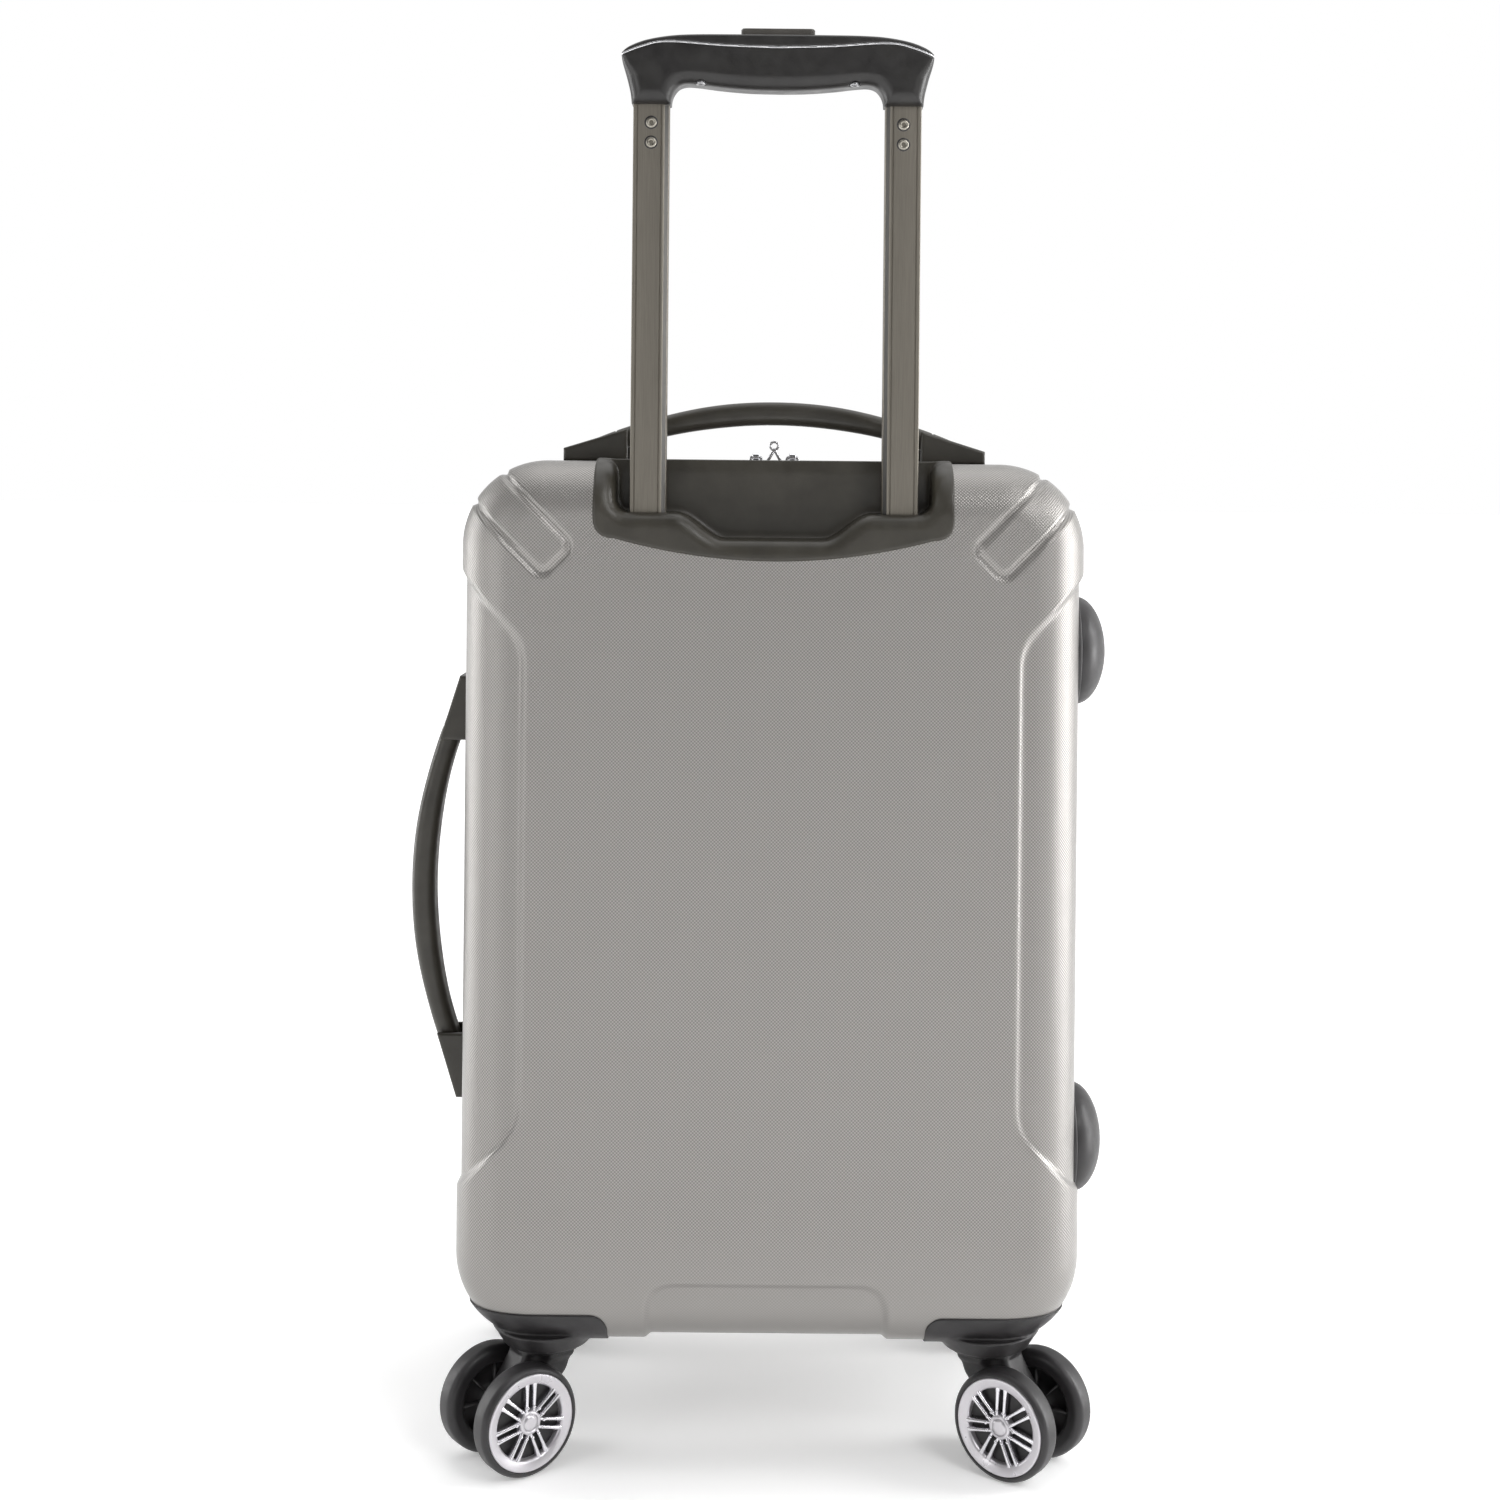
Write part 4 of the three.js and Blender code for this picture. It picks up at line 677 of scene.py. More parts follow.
for side, sx in (("left", -1), ("right", 1)):
    outlines = {
        "inner": (tube_outline(TUBE_WIDTH, TUBE_DEPTH, 3, (-7.6, 5.6)), "inner_stage"),
        "mid": (tube_outline(*(mid_high - mid_low)[:2], 0, (-9.4, 9.4)), "mid_stage"),
    }
    for stage, (outline, body) in outlines.items():
        low, high = node_box(f"{stage}_tube_{side}")
        section = outline.copy()
        if sx > 0:
            section[:, 0] *= -1
            section = section[::-1]
        section = section + [sx * TUBE_X, TUBE_Y]
        verts, faces = prism(section, low[2], high[2])
        # the slanted faces of the inner tubes take the darker copy of the gunmetal, painted shade
        across = [np.ptp(np.asarray(verts)[list(face)], axis=0) for face in faces]
        kinds = [int(stage == "inner" and size[0] > 2 and size[1] > 2 and size[2] > 1) for size in across]
        build(
            f"{stage}_tube_{side}_skin", verts, faces, [gunmetal, tube_chamfer_shade], body,
            [f"{stage}_tube_{side}"], kinds=kinds, smooth=False,
        )


# ---------------------------------------------------------------- trolley grip
grip_low, grip_high = node_box("grip_body")
GRIP_HALF_WIDTH = grip_high[0]
GRIP_HALF_DEPTH = (grip_high[1] - grip_low[1]) / 2
STAGE_TRAVEL = 225
LEG_Z = LIP_Z + 0.3 + STAGE_TRAVEL + 1
UNDERSIDE = LEG_Z + 8
TRIM_MIDDLE = UNDERSIDE + 23
GRIP_PLAY = 0.9


def through(points, count=8):
    """A smooth open line through points."""
    p = np.array([points[0], *points, points[-1]], float)
    line = []
    for i in range(1, len(p) - 2):
        for t in np.arange(count) / count:
            a, b, c, d = p[i - 1 : i + 3]
            square, cube = 2 * a - 5 * b + 4 * c - d, 3 * b - a - 3 * c + d
            line.append(0.5 * (2 * b + (c - a) * t + square * t**2 + cube * t**3))
    return [tuple(v) for v in [*line, p[-2]]]


def grip_outline():
    u, g, t = UNDERSIDE, GRIP_HALF_WIDTH, TRIM_MIDDLE
    inner, outer = TUBE_X - TUBE_WIDTH / 2 - GRIP_PLAY, TUBE_X + TUBE_WIDTH / 2 + GRIP_PLAY
    under = through([(0, u), (15, u + 0.3), (30, u + 1.4), (43, u + 3), (50, u + 3.4), (54.4, u + 2.2),
                     (57.2, u - 0.8), (58.7, u - 4.4), (inner, LEG_Z)])
    side = through([(outer, LEG_Z), (81.6, LEG_Z + 6), (83.5, LEG_Z + 14), (85.8, t - 9), (g, t - 4.4)], 5)
    top = through([(g, t - 4.4), (g - 0.4, t - 3.0), (82, t + 0.3), (73, t + 3.8), (60, t + 6.2),
                   (45, t + 7.1), (20, t + 7.3), (0, t + 7.3)])
    right = under + side + top[1:]
    return right + [(-x, z) for x, z in reversed(right[1:-1])]


GRIP_OUTLINE = grip_outline()
TRIM_LINE = np.array(through([(0, TRIM_MIDDLE), (30, TRIM_MIDDLE + 0.9), (61, TRIM_MIDDLE + 2.8),
                              (76, TRIM_MIDDLE - 0.2), (90, TRIM_MIDDLE - 6)]))
button_low, button_high = node_box("grip_button")
BUTTON_GAP = 0.4
SCREW_X = 42.7
SCREW_Y = TUBE_Y - 8


def grip_field(x, y, z, swell=0.0):
    edge = 2.0 + 5.5 * np.clip((TRIM_MIDDLE - 4 - z) / 12, 0, 1)
    sides = np.abs(y - TUBE_Y) - GRIP_HALF_DEPTH + 0.3
    body = rounded(polygon_field(x, z, GRIP_OUTLINE), sides, edge) - swell
    hole = np.hypot(np.abs(x) - SCREW_X, y - SCREW_Y) - 3.2
    body = smooth_max(body, -np.maximum(hole, z - UNDERSIDE - 4), 0.4)
    w, d = (button_high - button_low)[:2] / 2 + BUTTON_GAP
    slot = np.maximum(np.maximum(np.abs(x) - w, np.abs(y - TUBE_Y) - d), TRIM_MIDDLE - 5 - z)
    return smooth_max(body, -slot, 0.5)


def over_trim(x, z):
    return z - np.interp(np.abs(x), TRIM_LINE[:, 0], TRIM_LINE[:, 1])


TRIM_HALF = 0.42
box_low = (-GRIP_HALF_WIDTH - 1, TUBE_Y - GRIP_HALF_DEPTH - 1)
box_high = (GRIP_HALF_WIDTH + 1, TUBE_Y + GRIP_HALF_DEPTH + 1)


def body_field(x, y, z):
    return smooth_max(grip_field(x, y, z), over_trim(x, z) + TRIM_HALF, 0.5)


def cover_field(x, y, z):
    return smooth_max(grip_field(x, y, z), TRIM_HALF - over_trim(x, z), 0.5)


def trim_field(x, y, z):
    return np.maximum(grip_field(x, y, z, 0.25), np.abs(over_trim(x, z)) - TRIM_HALF - 0.1)


for name, field, low, high, step, material, slot in [
    ("grip_body", body_field, LEG_Z - 1, TRIM_MIDDLE + 5, 0.75, grip_shaded_plastic, "dark_plastic"),
    ("grip_cover", cover_field, TRIM_MIDDLE - 6, TRIM_MIDDLE + 9, 0.7, grip_shaded_plastic, "dark_plastic"),
    ("grip_trim", trim_field, TRIM_MIDDLE - 6, TRIM_MIDDLE + 5, 0.45, bright_chrome, "bright_metal"),
]:
    low, high = (*box_low, low), (*box_high, high)
    carve(f"{name}_skin", field, low, high, step, material, "inner_stage", [name])

(x0, y0, _), (x1, y1, _) = button_low, button_high
outline = round_corners([(x0, y0), (x1, y0), (x1, y1), (x0, y1)], 2.2, 4)
verts, faces = prism(outline, TRIM_MIDDLE + 0.5, button_high[2], 0.7)
build("button_skin", verts, faces, [button_plastic], "release_button", ["grip_button"],
      smooth=False)

SCREW_PROFILE = [(0.01, 1), (1, 1), (1.2, 0.1), (2.3, 0), (2.8, 0.5), (2.8, 2), (1.5, 2), (1.5, 20)]
RIVET_PROFILE = [(0.01, -1.2), (1.0, -1.2), (1.15, 0.3), (1.5, 0.62), (2.3, 0.6), (2.9, 0.3), (3.1, -0.3)]
# a flat black ring round each rivet head on the hole-less tube: painted shade of the recess round the head
RIVET_SHADE_PROFILE = [(2.6, 0.04), (3.7, 0.04), (3.9, -0.2)]
for side in ("left", "right"):
    low, high = node_box(f"grip_screw_{side}")
    head = lathe(SCREW_PROFILE, 28)
    verts = head[0] + [(low[0] + high[0]) / 2, (low[1] + high[1]) / 2, low[2]]
    build(f"screw_{side}", verts, head[1], [plain_steel], "inner_stage", [f"grip_screw_{side}"])
    for level in ("upper", "lower"):
        low, high = node_box(f"tube_rivet_{side}_{level}")
        ring, shade_ring = lathe(RIVET_PROFILE, 36), lathe(RIVET_SHADE_PROFILE, 36, 1)
        verts, faces, kinds = joined([turned_over(ring), turned_over(shade_ring)])
        verts = np.column_stack([verts[:, 0], -verts[:, 2], verts[:, 1]])
        verts += [(low[0] + high[0]) / 2, tube_low[1], (low[2] + high[2]) / 2]
        build(f"rivet_{side}_{level}", verts, faces, [rivet_metal, black_plastic], "inner_stage",
              [f"tube_rivet_{side}_{level}"], kinds=kinds)


# ---------------------------------------------------------------- carry handles
HANDLE_Y = (node_box("top_handle_bar")[0][1] + node_box("top_handle_bar")[1][1]) / 2
BAR_HALF_SPAN, BAR_CROWN, BAR_END = 102.0, 28.8, 8.0
BAR_RISE = BAR_CROWN - BAR_END
BAR_RADIUS = (BAR_HALF_SPAN**2 + BAR_RISE**2) / (2 * BAR_RISE)


def bar_field(x, y, z):
    out = np.hypot(x, z - BAR_CROWN + BAR_RADIUS) - BAR_RADIUS
    swell = 0.9 * np.exp(-((x / 55) ** 4))
    half = 5.7 + swell
    section = rounded(np.abs(out + 0.2) - half, np.abs(y) - 9.6 - swell, 5.2)
    ends = rounded(np.maximum(section, np.abs(x) - BAR_HALF_SPAN), 0.8 - z, 0.6)
    lines = np.abs(np.abs(x) - 92) - 0.5
    return smooth_max(ends, -np.maximum(lines, -section - 0.5), 0.4)


def bracket_field(x, y, z):
    wedge = polygon_field(x, z, [(84.5, 0.3), (121.5, 0.3), (121.5, 7.5), (84.5, 19)])
    wedge = rounded(wedge, np.abs(y) - 14.5, 1.4)
    slot = np.maximum(np.maximum(x - 102.6, np.abs(y) - 11.4), 1 - z)
    cheek = np.maximum(np.maximum(x - 110.5, np.abs(y) - 8.4), np.maximum(1 - z, z - 8.5))
    return smooth_max(smooth_max(wedge, -slot, 0.7), -cheek, 0.4)


def on_top(verts):
    return verts + [0, HANDLE_Y, TOP]


def on_side(verts):
    panel = [RELIEF_DEPTH - HALF_WIDTH, HANDLE_Y, MIDDLE_Z]
    return np.column_stack([-verts[:, 2], verts[:, 1], verts[:, 0]]) + panel


for prefix, move, body, ends in [
    ("top_handle", on_top, "top_handle", ("left", "right")),
    ("side_handle", on_side, "side_handle", ("lower", "upper")),
]:
    carve(f"{prefix}_grip", bar_field, (-103, -13, 0), (103, 13, 37), 0.9, dark_plastic, body,
          [f"{prefix}_bar"], move)
    for end, sx in zip(ends, (-1, 1)):
        low, high = sorted((sx * 84, sx * 122.5))
        carve(f"{prefix}_mount_{end}", lambda x, y, z, sx=sx: bracket_field(sx * x, y, z), (low, -15, 0),
              (high, 15, 20), 0.7, dark_plastic, "case", [f"{prefix}_bracket_{end}"], move)


# ---------------------------------------------------------------- side feet
for level in ("upper", "lower"):
    low, high = node_box(f"side_foot_{level}")
    radius = (high[2] - low[2]) / 2
    rise = high[0] - (HALF_WIDTH - RELIEF_DEPTH)
    rim = [(radius, -1.5), (radius, 1.6), (radius - 0.5, 2.2), (radius - 1.3, 2.3), (radius - 1.5, 1.8)]
    cap = [(radius - 1.9, 2.2)]
    for angle in np.linspace(0.02, math.pi / 2, 22)[:-1]:
        cap.append(((radius - 1.9) * math.cos(angle), 2.2 + (rise - 2.2) * math.sin(angle)))
    verts, faces, _ = lathe([*rim, *cap, (0.01, rise)], 96)
    verts = np.column_stack([verts[:, 2], verts[:, 0], verts[:, 1]])
    verts += [HALF_WIDTH - RELIEF_DEPTH, (low[1] + high[1]) / 2, (low[2] + high[2]) / 2]
    build(f"foot_{level}", verts, faces, [black_plastic], "case", [f"side_foot_{level}"])


# ---------------------------------------------------------------- casters
HOUSING_X, HOUSING_REACH, HOUSING_Z = HALF_WIDTH - 87, 85.0, BOTTOM + 20.5
COLLAR_BOTTOM = BOTTOM - 4.1
WHEEL_RADIUS, WHEEL_HALF, HUB_RADIUS = 30.0, 7.0, 26.4
SWIVEL_INSET_X, SWIVEL_INSET_Y = 51, 33
SPOKES, SPOKE_ASIDE, FIRST_SPOKE = 7, 2.2, 88
RIVET_RADIUS, RIVET_ASIDE = 8.4, 2.0
CORE_RIBS = 8


def fork_outline():
    boss = arc(25, WHEEL_RADIUS, 10.5, 200, 400, 16)
    tail = through([(-11, 62), (-10.6, 54), (-8.5, 47), (-3, 41), (6, 34), boss[0]], 4)
    return [*tail[:-1], *boss, *through([(33, 40), (24, 52), (18, 62)], 4)]


FORK_OUTLINE = fork_outline()


def fork_field(x, y, z):
    web = rounded(polygon_field(x, z, FORK_OUTLINE), np.abs(y) - 9.8, 3.5)
    shoulder = box_field(x, y, z, (-11, -13, 55.5), (7, 13, 61.4), 2.6)
    disc = rounded(np.hypot(x, y) - 20, np.abs(z - 61.9) - 1.1, 0.5)
    axle = np.maximum(np.hypot(x - 25, z - WHEEL_RADIUS) - 3, np.abs(y) - 20)
    body = smooth_min(web, shoulder, 6)
    body = np.maximum(smooth_min(body, disc, 3), z - 63.1)
    return np.minimum(body, axle)


def wheel_shapes():
    """Tyre, hub cap and core of a wheel about +z, its outer face up."""
    r, h = WHEEL_RADIUS, WHEEL_HALF
    tread = [(r - 8.8, -h + 0.8), (r - 5.2, -h), *arc(r - 4.2, -h + 4.2, 4.2, 270, 360, 7)]
    tread += arc(r - 3.6, h - 3.6, 3.6, 0, 80, 6)
    tyre = lathe([*tread, (HUB_RADIUS + 0.5, h - 0.1), (HUB_RADIUS + 0.1, h - 0.7)], 80, 0)
    ring = lathe(
        [(HUB_RADIUS + 0.1, h - 0.8), (HUB_RADIUS - 0.1, h - 0.1), (HUB_RADIUS - 0.6, h + 0.15),
         (HUB_RADIUS - 1.4, h), (22.0, h - 0.7), (20.9, h - 1.3), (20.4, h - 2.4), (20.3, h - 5.2)], 80, 1)
    back = lathe([(20.6, h - 5.0), (12, h - 5.4), (5, h - 5.2), (0.01, h - 5.2)], 48, 2)
    boss = lathe(
        [(6.9, h - 5.2), (6.6, h - 1.2), (6.2, h - 0.5), (5.3, h - 0.15), (4.9, h - 0.15), (4.7, h - 1.0),
         (4.3, h - 1.0), (4.1, h - 0.1), (2.6, h + 0.05), (0.01, h + 0.1)], 40, 1)
    inner = lathe(
        [(0.01, -h + 3), (3.3, -h + 3), (3.3, -h + 0.4), (6, -h + 0.4), (6.4, -h + 4), (19, -h + 4.6),
         (20.6, -h + 1.2), (21.4, -h + 0.6)], 48, 2)
    shapes = [tyre, ring, back, boss, turned_over(inner)]
    lines = [(5.0, h - 0.9, 0.85), (8.0, h - 0.6, 0.8), (15, h - 0.7, 0.9), (19.0, h - 0.8, 1.05),
             (21.6, h - 1.0, 1.6)]
    section = [(-1, 3.4), (-1, 0.5), (-0.5, 0), (0.5, 0), (1, 0.5), (1, 3.4)]
    spoke_faces = grid_quads(len(lines), len(section), closed=False, over=True).tolist()
    drop = lathe([(1.0, h - 2.2), (0.95, h - 0.5), (0.6, h - 0.1), (0.01, h + 0.05)], 10, 3)
    for number in range(SPOKES):
        turn = math.radians(FIRST_SPOKE - number * 360 / SPOKES)
        direction = (math.cos(turn), math.sin(turn))
        for aside in (-SPOKE_ASIDE, SPOKE_ASIDE):
            points = []
            for along, top, half in lines:
                lane = aside * (0.92 + along * 0.01)
                points += [(along, lane + half * o, top - d) for o, d in section]
            shapes.append((turned_to(np.array(points), direction), spoke_faces, 3))
        for aside in (-RIVET_ASIDE, RIVET_ASIDE):
            spot = turned_to(np.array([(RIVET_RADIUS, aside, 0.0)]), direction)
            shapes.append((drop[0] + spot, drop[1], 3))
    level = [(6, -0.5), (6, 0.5), (20, 0.5), (20, -0.5)]
    rib = np.array([(x, y, z - h) for z in (4.8, 1.6) for x, y in level])
    for number in range(CORE_RIBS):
        turn = number * 2 * math.pi / CORE_RIBS
        spun = turned_to(rib, (math.cos(turn), math.sin(turn)))
        shapes.append((spun, [[4, 5, 6, 7], [0, 1, 5, 4], [2, 3, 7, 6], [1, 2, 6, 5], [3, 0, 4, 7]], 2))
    return shapes


wheel_parts = joined(wheel_shapes())
chrome_spoke = metal("hub_chrome", (0.72, 0.71, 0.74), (0.8, 0.79, 0.82), (0.12, 0.24), grain=1.5)
wheel_materials = [tyre_rubber, hub_silver, black_plastic, chrome_spoke]
fork_shape = isosurface(fork_field, (-22, -22, 18), (37, 22, 64), 0.8)

for end, sy, face in (("rear", -1, BACK_DEPTH), ("front", 1, FRONT_DEPTH)):
    for side, sx in (("left", -1), ("right", 1)):
        tag = f"{end}_{side}"
        swivel = np.array([sx * (HALF_WIDTH - SWIVEL_INSET_X), sy * (face - SWIVEL_INSET_Y), 0.0])
        hubs = [np.mean(node_box(f"wheel_{tag}_{n}"), axis=0) for n in (1, 2)]
        trail = (hubs[0] + hubs[1]) / 2 - swivel
        along = trail[:2] / np.linalg.norm(trail[:2])

        def housing_field(x, y, z):
            gap = rounded(HOUSING_X - sx * x, z - HOUSING_Z, 10)
            zone = rounded(gap, face - HOUSING_REACH - sy * y, 10)
            cap = rounded(case_field(x, y, z) - 1, zone, 0.8)
            cap = np.maximum(cap, -case_field(x, y, z) - 4)
            reach = np.hypot(x - swivel[0], y - swivel[1])
            cone = rounded(reach - 24.0 - (z - COLLAR_BOTTOM) * 0.62, np.abs(z - COLLAR_BOTTOM - 5) - 5, 0.9)
            return smooth_min(cap, np.maximum(cone, -case_field(x, y, z) - 4), 3)

        corner = np.array([sx * (HALF_WIDTH + 2), sy * (face + 2), HOUSING_Z + 1])
        other = np.array([sx * (HOUSING_X - 1), sy * (face - HOUSING_REACH - 1), COLLAR_BOTTOM - 1])
        carve(f"caster_cap_{tag}", housing_field, np.minimum(corner, other), np.maximum(corner, other), 0.9,
              black_plastic, "case" if sy < 0 else "lid", [f"caster_housing_{tag}"])
        build(f"fork_{tag}", turned_to(fork_shape[0], along) + swivel, fork_shape[1].tolist(),
              [black_plastic], f"caster_{tag}", [f"caster_fork_{tag}"])
        for number in (1, 2):
            centre = hubs[number - 1]
            out = centre - hubs[2 - number]
            out = out / np.linalg.norm(out)
            flat = np.array([-out[1], out[0], 0.0])
            x, y, z = (wheel_parts[0][:, k : k + 1] for k in range(3))
            placed = centre + x * flat + y * np.cross(out, flat) + z * out
            build(f"tyre_{tag}_{number}", placed, wheel_parts[1], wheel_materials, f"wheel_{tag}_{number}",
                  [f"wheel_{tag}_{number}"], kinds=wheel_parts[2])


# ---------------------------------------------------------------- zip, linings, straps and hinge strip
def case_ring(spacing):
    """Points on the corner-centre rectangle and outward directions, round the case at about that spacing."""
    a, b = HALF_WIDTH - CORNER_RADIUS, HALF_HEIGHT - CORNER_RADIUS
    turn_count = int(CORNER_RADIUS * math.pi / 2 / spacing)
    base, turn = [], []
    for (x, z), (dx, dz), angle in [
        ((-a, -b), (2 * a, 0), -90), ((a, -b), (0, 2 * b), 0),
        ((a, b), (-2 * a, 0), 90), ((-a, b), (0, -2 * b), 180),
    ]:
        for t in np.arange(0, 1, spacing / max(abs(dx), abs(dz))):
            base.append((x + dx * t, z + dz * t))
            turn.append(angle)
        for t in np.arange(turn_count) / turn_count:
            base.append((x + dx, z + dz))
            turn.append(angle + 90 * t)
    turn = np.radians(turn)
    return np.array(base) + [0, MIDDLE_Z], np.stack([np.cos(turn), np.sin(turn)], 1)


def banded(base, outward, rows):
    """A band round the case from (inset, y) rows; the inset follows the shell's reliefs."""
    count = len(base)
    verts = []
    for inset, y in rows:
        edge = base + outward * CORNER_RADIUS
        spot = edge - outward * (relief(edge[:, 0], edge[:, 1]) + inset)[:, None]
        verts.append(np.column_stack([spot[:, 0], np.full(count, y), spot[:, 1]]))
    return np.concatenate(verts), grid_quads(len(rows), count)


HINGE_HALF = 190.0
base, outward = case_ring(6)
for name, body, side in (("zipper_tape_back", "case", -1), ("zipper_tape_front", "lid", 1)):
    rows = [(2.3, 0.5), (2.2, 1.6), (2.4, 3.2), (2.9, 4.6), (3.1, 6.5), (3.1, 9.5), (3.1, 12.5)]
    verts, faces = banded(base, outward, [(inset, side * y) for inset, y in rows])
    cloth = build(f"{name}_cloth", verts, faces.tolist(), [zip_cloth], body, [name])

tooth_base, tooth_out = case_ring(1.1)
for name, body, side in (("zip_teeth_back", "case", -1), ("zip_teeth_front", "lid", 1)):
    chosen = np.arange(0 if side < 0 else 1, len(tooth_base), 2)
    edge = tooth_base + tooth_out * CORNER_RADIUS
    chosen = chosen[~((edge[chosen, 0] > HALF_WIDTH - 5) & (np.abs(edge[chosen, 1] - MIDDLE_Z) < HINGE_HALF))]
    section = [(-0.75, 2.4), (-0.75, 1.5), (-0.4, 1.15), (0.4, 1.15), (0.75, 1.5), (0.75, 2.4)]
    shapes = []
    for i in chosen:
        tangent = np.array([-tooth_out[i][1], tooth_out[i][0]])
        sunk = relief(edge[i : i + 1, 0], edge[i : i + 1, 1])[0]
        points = []
        for y in (-0.7, 2.2):
            for along, inset in section:
                spot = edge[i] + tangent * along - tooth_out[i] * (inset + sunk)
                points.append((spot[0], side * y, spot[1]))
        faces = [[k, k + 1, k + 7, k + 6] for k in range(5)] + [[0, 1, 2, 3, 4, 5], [11, 10, 9, 8, 7, 6]]
        shapes.append((points, faces, 0))
    verts, faces, _ = joined(shapes)
    build(name, verts, faces, [zip_plastic], body, smooth=False)


HEM = 0.9


def lining(name, body, side, depth, corner, seam_y):
    """A cloth tray inside a half shell, faintly puckered, with a rolled hem round its edge."""
    inset = 6.4
    base, outward = case_ring(5)
    flat = CORNER_RADIUS - inset - corner
    rows = [(r, depth) for r in np.linspace(0, flat, 4)[:-1]]
    for angle in np.linspace(0, math.pi / 2, 6):
        rows.append((flat + corner * math.sin(angle), depth - corner * (1 - math.cos(angle))))
    rows += [(flat + corner, y) for y in np.linspace(depth - corner, seam_y + 2, 14)[1:]]
    reach = flat + corner
    rows += [(reach - HEM, seam_y + 1.2), (reach - HEM, seam_y + 0.4), (reach, seam_y)]
    count = len(base)
    verts = []
    for number, (reach, y) in enumerate(rows):
        spot = base + outward * reach
        run = np.arange(count)
        pucker = 0.5 * np.sin(run * 0.9 + number * 0.35) * np.sin(run * 0.23 + number * 0.8)
        spot = spot - outward * (0.5 + pucker)[:, None] * min(1, reach / flat)
        verts.append(np.column_stack([spot[:, 0], np.full(count, side * y), spot[:, 1]]))
    a, b = HALF_WIDTH - CORNER_RADIUS, HALF_HEIGHT - CORNER_RADIUS
    xs, zs = np.linspace(-a, a, 44), np.linspace(-b, b, 66) + MIDDLE_Z
    quads = [grid_quads(len(rows), count, over=True)]
    quads.append(grid_quads(len(xs), len(zs), closed=False, over=True, start=len(rows) * count))
    gx, gz = np.meshgrid(xs, zs, indexing="ij")
    soft = 0.45 * np.sin(gx / 17 + np.sin(gz / 29)) * np.sin(gz / 23 + gx / 61)
    soft = soft * np.clip((a - np.abs(gx)) / 20, 0, 1) * np.clip((b - np.abs(gz - MIDDLE_Z)) / 20, 0, 1)
    floor = np.column_stack([gx.ravel(), (side * (depth - 0.5 - soft)).ravel(), gz.ravel()])
    verts = np.concatenate([*verts, floor])
    quads = np.concatenate(quads)
    cloth = build(f"{name}_cloth", verts, quads.tolist(), [lining_cloth], body, [name])
    weld(cloth, 0.3)


lining("lining_back", "case", -1, -node_box("lining_back")[0][1] - 0.2, 3.0, 4.2)
lining("lining_front", "lid", 1, node_box("lining_front")[1][1] - 0.2, 22.0, 4.2)

strap_low, strap_high = node_box("cross_strap")
STRAP_Y = (strap_low[1] + strap_high[1]) / 2
STRAP_HALF_WIDTH = 12.5
strap_angle = math.atan2(270, strap_high[0] - strap_low[0])
half_run = (strap_high[0] - strap_low[0] - 6) / 2 / math.cos(strap_angle)
for number, lean in ((1, 1), (2, -1)):
    along = np.array([math.cos(strap_angle), 0, lean * math.sin(strap_angle)])
    across = np.array([-along[2], 0, along[0]])
    runs, rows = np.linspace(-half_run, half_run, 90), np.linspace(-STRAP_HALF_WIDTH, STRAP_HALF_WIDTH, 7)
    points = []
    for s in runs:
        sag = -0.9 * lean * math.exp(-((s / 30) ** 2)) - 2.2 * (1 - (s / half_run) ** 2)
        for w in rows:
            points.append(along * s + across * w + [0, STRAP_Y + 1.5 + sag, MIDDLE_Z])
    faces = grid_quads(len(runs), len(rows), closed=False).tolist()
    band = build(f"strap_{number}", points, faces, [strap_cloth], "case",
                 ["cross_strap"] if number == 1 else ())


def buckle_field(x, y, z):
    plate = box_field(x, y, z, (-23, -3, -15), (23, 3, 15), 2.4)
    for sx in (-1, 1):
        low, high = sorted((sx * 20, sx * 16.5))
        slot = box_field(x, y, z, (low, -9, -11.5), (high, 9, 11.5), 0.8)
        plate = smooth_max(plate, -slot, 0.8)
        low, high = sorted((sx * 11, sx * 20))
        notch = box_field(x, y, z, (-6, -9, low), (8, 9, high), 2)
        plate = smooth_max(plate, -notch, 0.8)
    seam = np.maximum(np.abs(x - 9) - 0.4, 1.8 - np.abs(y))
    return smooth_max(plate, -seam, 0.4)


carve("strap_buckle", buckle_field, (-24, -4, -16), (24, 4, 16), 0.8, black_plastic, "case",
      move=lambda verts: verts + [0, STRAP_Y, MIDDLE_Z])

strip_low, strip_high = node_box("hinge_strip")
strip_x = (strip_low[0] + strip_high[0]) / 2
ys = np.linspace(strip_low[1], strip_high[1], 25)
zs = np.linspace(strip_low[2], strip_high[2], 120)
points = [(strip_x + 0.25 * math.sin(z / 6) * math.sin(y / 9), y, z) for y in ys for z in zs]
faces = grid_quads(len(ys), len(zs), closed=False).tolist()
strip = build("hinge_cloth", points, faces, [lining_cloth], None, ["hinge_strip"])
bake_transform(strip)


# ---------------------------------------------------------------- zip sliders
SLIDER_FOOT = node_box("zip_slider_right")[0][2]


def slider_field(x, y, z):
    outline = [(4, -2.6), (7, -4.2), (18, -3.3), (18, 3.3), (7, 4.2), (4, 2.6)]
    plate = rounded(polygon_field(x, y, outline), np.abs(z - 2.1) - 0.8, 0.6)
    foot = box_field(x, y, z, (4.4, -3.0, 0), (17.6, 3.0, 1.4), 0.6)
    arch = rounded(np.abs(x - PULL_X) - ARCH_HALF, np.abs(z - 1.5) - (PIN_RISE - 1.5), 2.2)
    bridge = np.maximum(np.hypot(arch, y) - 0.95, 2.1 - z)
    eye = np.hypot(np.hypot(x, z - EYE_RISE) - 2.4, y - 0.8) - 0.8
    lean = (x * 7.5 - (z - 9.8) * -4.2) / 8.6
    neck = np.maximum(np.hypot(lean, y - 0.6) - 0.95, np.maximum(z - 10, 2.2 - z))
    body = smooth_min(smooth_min(plate, foot, 0.8), bridge, 0.8)
    return smooth_min(smooth_min(body, eye, 0.6), neck, 0.8)


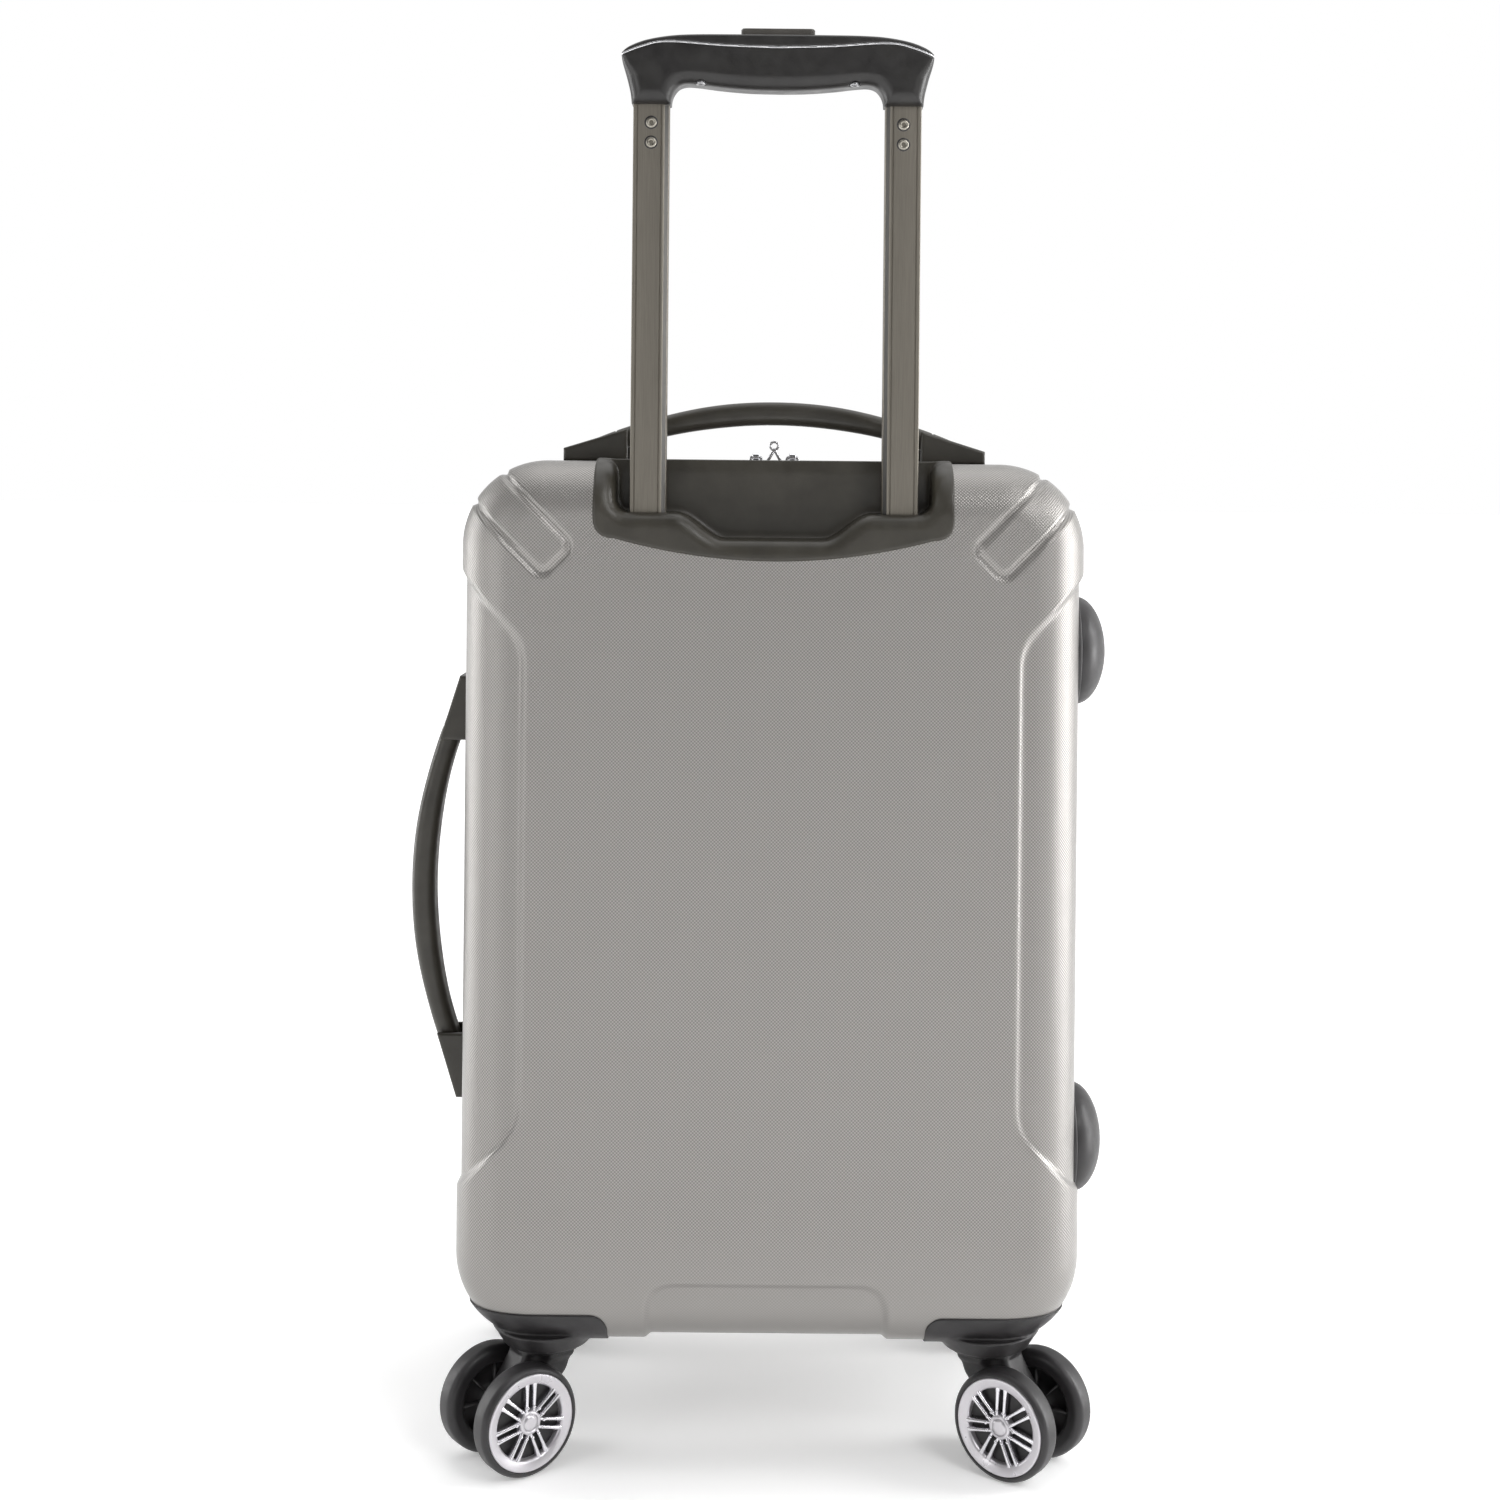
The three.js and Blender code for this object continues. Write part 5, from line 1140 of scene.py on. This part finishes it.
def pull_field(x, y, z):
    half = [(1.5, 0), (1.3, 5), (2.0, 9), (2.0, 18.6), (0.9, 19.8)]
    outline = [(-u, v) for u, v in half] + half[::-1]
    tab = rounded(polygon_field(x, y, outline), np.abs(z) - 0.8, 0.4)
    barrel = rounded(np.hypot(y, z) - 2.1, np.abs(x) - 2.0, 0.4)
    body = smooth_min(tab, barrel, 0.5)
    body = smooth_max(body, 1.35 - np.hypot(y, z), 0.15)
    slot = np.hypot(x, np.maximum(np.abs(y - 15.2) - 2.0, 0)) - 1.0
    return smooth_max(body, -slot, 0.3)


PULL_X, PIN_RISE, ARCH_HALF, EYE_RISE = 11.0, 5.5, 3.4, 12.0
PULL_DROOP = math.radians(8)
for side, turn in (("right", 1), ("left", -1)):
    carve(f"slider_{side}", slider_field, (-4, -5.5, -0.5), (19, 5.5, 16), 0.42, bright_chrome,
          f"zip_slider_{side}", [f"zip_slider_{side}"],
          lambda verts, turn=turn: verts * [turn, turn, 1] + [0, 0, SLIDER_FOOT])

    def hang(verts, turn=turn):
        x, y, z = verts.T
        c, s = math.cos(PULL_DROOP), math.sin(PULL_DROOP)
        return np.column_stack([x + turn * PULL_X, y * c + z * s, z * c - y * s + SLIDER_FOOT + PIN_RISE])

    carve(f"pull_{side}", pull_field, (-3, -3, -3), (3, 21, 3), 0.3, bright_chrome, f"zip_pull_{side}",
          [f"zip_pull_{side}"], hang)


# ---------------------------------------------------------------- frame nodes that show as they are
SIDES = ("left", "right")
for material, names in [
    (plain_steel, [f"{kind}_{side}" for kind in ("outer_tube", "lock_pin", "push_rod") for side in SIDES]),
    (black_plastic, ["tube_foot_bracket", "push_bar"]),
]:
    for name in names:
        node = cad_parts[name]
        for slot in node.material_slots:
            slot.material = material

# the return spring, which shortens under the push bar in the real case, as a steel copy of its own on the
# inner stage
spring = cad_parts["button_spring"].copy()
spring.data = spring.data.copy()
spring.name = "return_spring"
spring.data.materials.clear()
spring.data.materials.append(plain_steel)
bpy.context.scene.collection.objects.link(spring)
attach(spring, "inner_stage")
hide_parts("button_spring")
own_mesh(spring)


# ---------------------------------------------------------------- floor, light and camera
def stage_floor():
    mesh = bpy.data.meshes.new("floor")
    size = 40.0
    corners = [(-size, -size, 0), (size, -size, 0), (size, size, 0), (-size, size, 0)]
    mesh.from_pydata(corners, [], [(0, 1, 2, 3)])
    made, tree, surface, place = shader("pale_floor")
    surface.inputs["Roughness"].default_value = 0.6
    surface.inputs["Specular IOR Level"].default_value = 0.2
    colour = shade(tree, noise(tree, place, 400), (0.93, 0.93, 0.93), (0.96, 0.96, 0.96))
    tree.links.new(colour, surface.inputs["Base Color"])
    # painted light: the floor glows, least near the case and more further out, lightening the shadow under
    # the case and whitening the far floor
    far = tree.nodes.new("ShaderNodeVectorMath")
    far.operation = "LENGTH"
    tree.links.new(place, far.inputs[0])
    surface.inputs["Emission Color"].default_value = (1, 1, 1, 1)
    painted_floor_light = between(tree, far.outputs["Value"], 0.26, 0.7, 0.5, 2.6)
    tree.links.new(painted_floor_light, surface.inputs["Emission Strength"])
    mesh.materials.append(made)
    floor = bpy.data.objects.new("floor", mesh)
    bpy.context.scene.collection.objects.link(floor)


def sky():
    """A white studio: white to camera rays, and its light dimmer from the trolley's side and the left."""
    world = bpy.context.scene.world or bpy.data.worlds.new("studio")
    bpy.context.scene.world = world
    world.use_nodes = True
    tree = world.node_tree
    background = tree.nodes["Background"]
    background.inputs["Color"].default_value = (1, 1, 1, 1)
    path = tree.nodes.new("ShaderNodeLightPath")
    place = tree.nodes.new("ShaderNodeTexCoord")
    split = tree.nodes.new("ShaderNodeSeparateXYZ")
    tree.links.new(place.outputs["Generated"], split.inputs["Vector"])
    gradient = between(tree, split.outputs["Y"], SKY_NEAR, SKY_FAR, -0.6, 0.6)
    sideways = between(tree, split.outputs["X"], SKY_LEFT, SKY_RIGHT, -0.7, 0.7)
    gradient = math_node(tree, "MULTIPLY", gradient, sideways)
    lit = math_node(tree, "MULTIPLY", gradient, math_node(tree, "SUBTRACT", 1, path.outputs["Is Camera Ray"]))
    tree.links.new(math_node(tree, "ADD", lit, path.outputs["Is Camera Ray"]), background.inputs["Strength"])


def softbox(name, place, aim, size, power):
    lamp = bpy.data.lights.new(name, "AREA")
    lamp.shape = "RECTANGLE"
    lamp.size, lamp.size_y = size
    lamp.energy = power
    light = bpy.data.objects.new(name, lamp)
    bpy.context.scene.collection.objects.link(light)
    light.location = place
    light.rotation_euler = (Vector(aim) - Vector(place)).to_track_quat("-Z", "Y").to_euler()


SKY_NEAR, SKY_FAR = 0.22, 1.0
SKY_LEFT, SKY_RIGHT = 0.55, 1.2
stage_floor()
sky()
softbox("key", (1.2, -1.7, 1.9), (0, 0, 0.4), (0.9, 0.9), 17)
softbox("fill", (-1.7, -1.7, 0.9), (0, 0, 0.35), (0.8, 1.4), 8)
softbox("left", (-1.5, 0.3, 0.6), (0, -0.1, 0.35), (0.5, 1.5), 11)
softbox("right", (1.5, -0.08, 0.6), (0, -0.1, 0.35), (0.5, 1.5), 21)
softbox("top", (0, 0.1, 2.6), (0, 0, 0), (2.4, 2.4), 20)

CAMERA_DISTANCE = 1200.0
CAMERA_HEIGHT = 549.6
LENS = 52.3
SHIFT = (-0.016, -0.18)
ROLL = -0.55
bpy.context.scene.view_settings.view_transform = "Standard"
camera_data = bpy.data.cameras.new("camera")
camera_data.lens = LENS
camera_data.sensor_width = 36
camera_data.shift_x, camera_data.shift_y = SHIFT
camera_data.clip_end = 200
camera = bpy.data.objects.new("camera", camera_data)
bpy.context.scene.collection.objects.link(camera)
eye = np.array([0.0, -BACK_DEPTH - CAMERA_DISTANCE, CAMERA_HEIGHT])
camera.location = (eye + ORIGIN) * MM
camera.rotation_euler = (math.pi / 2, math.radians(ROLL), 0)
bpy.context.scene.camera = camera
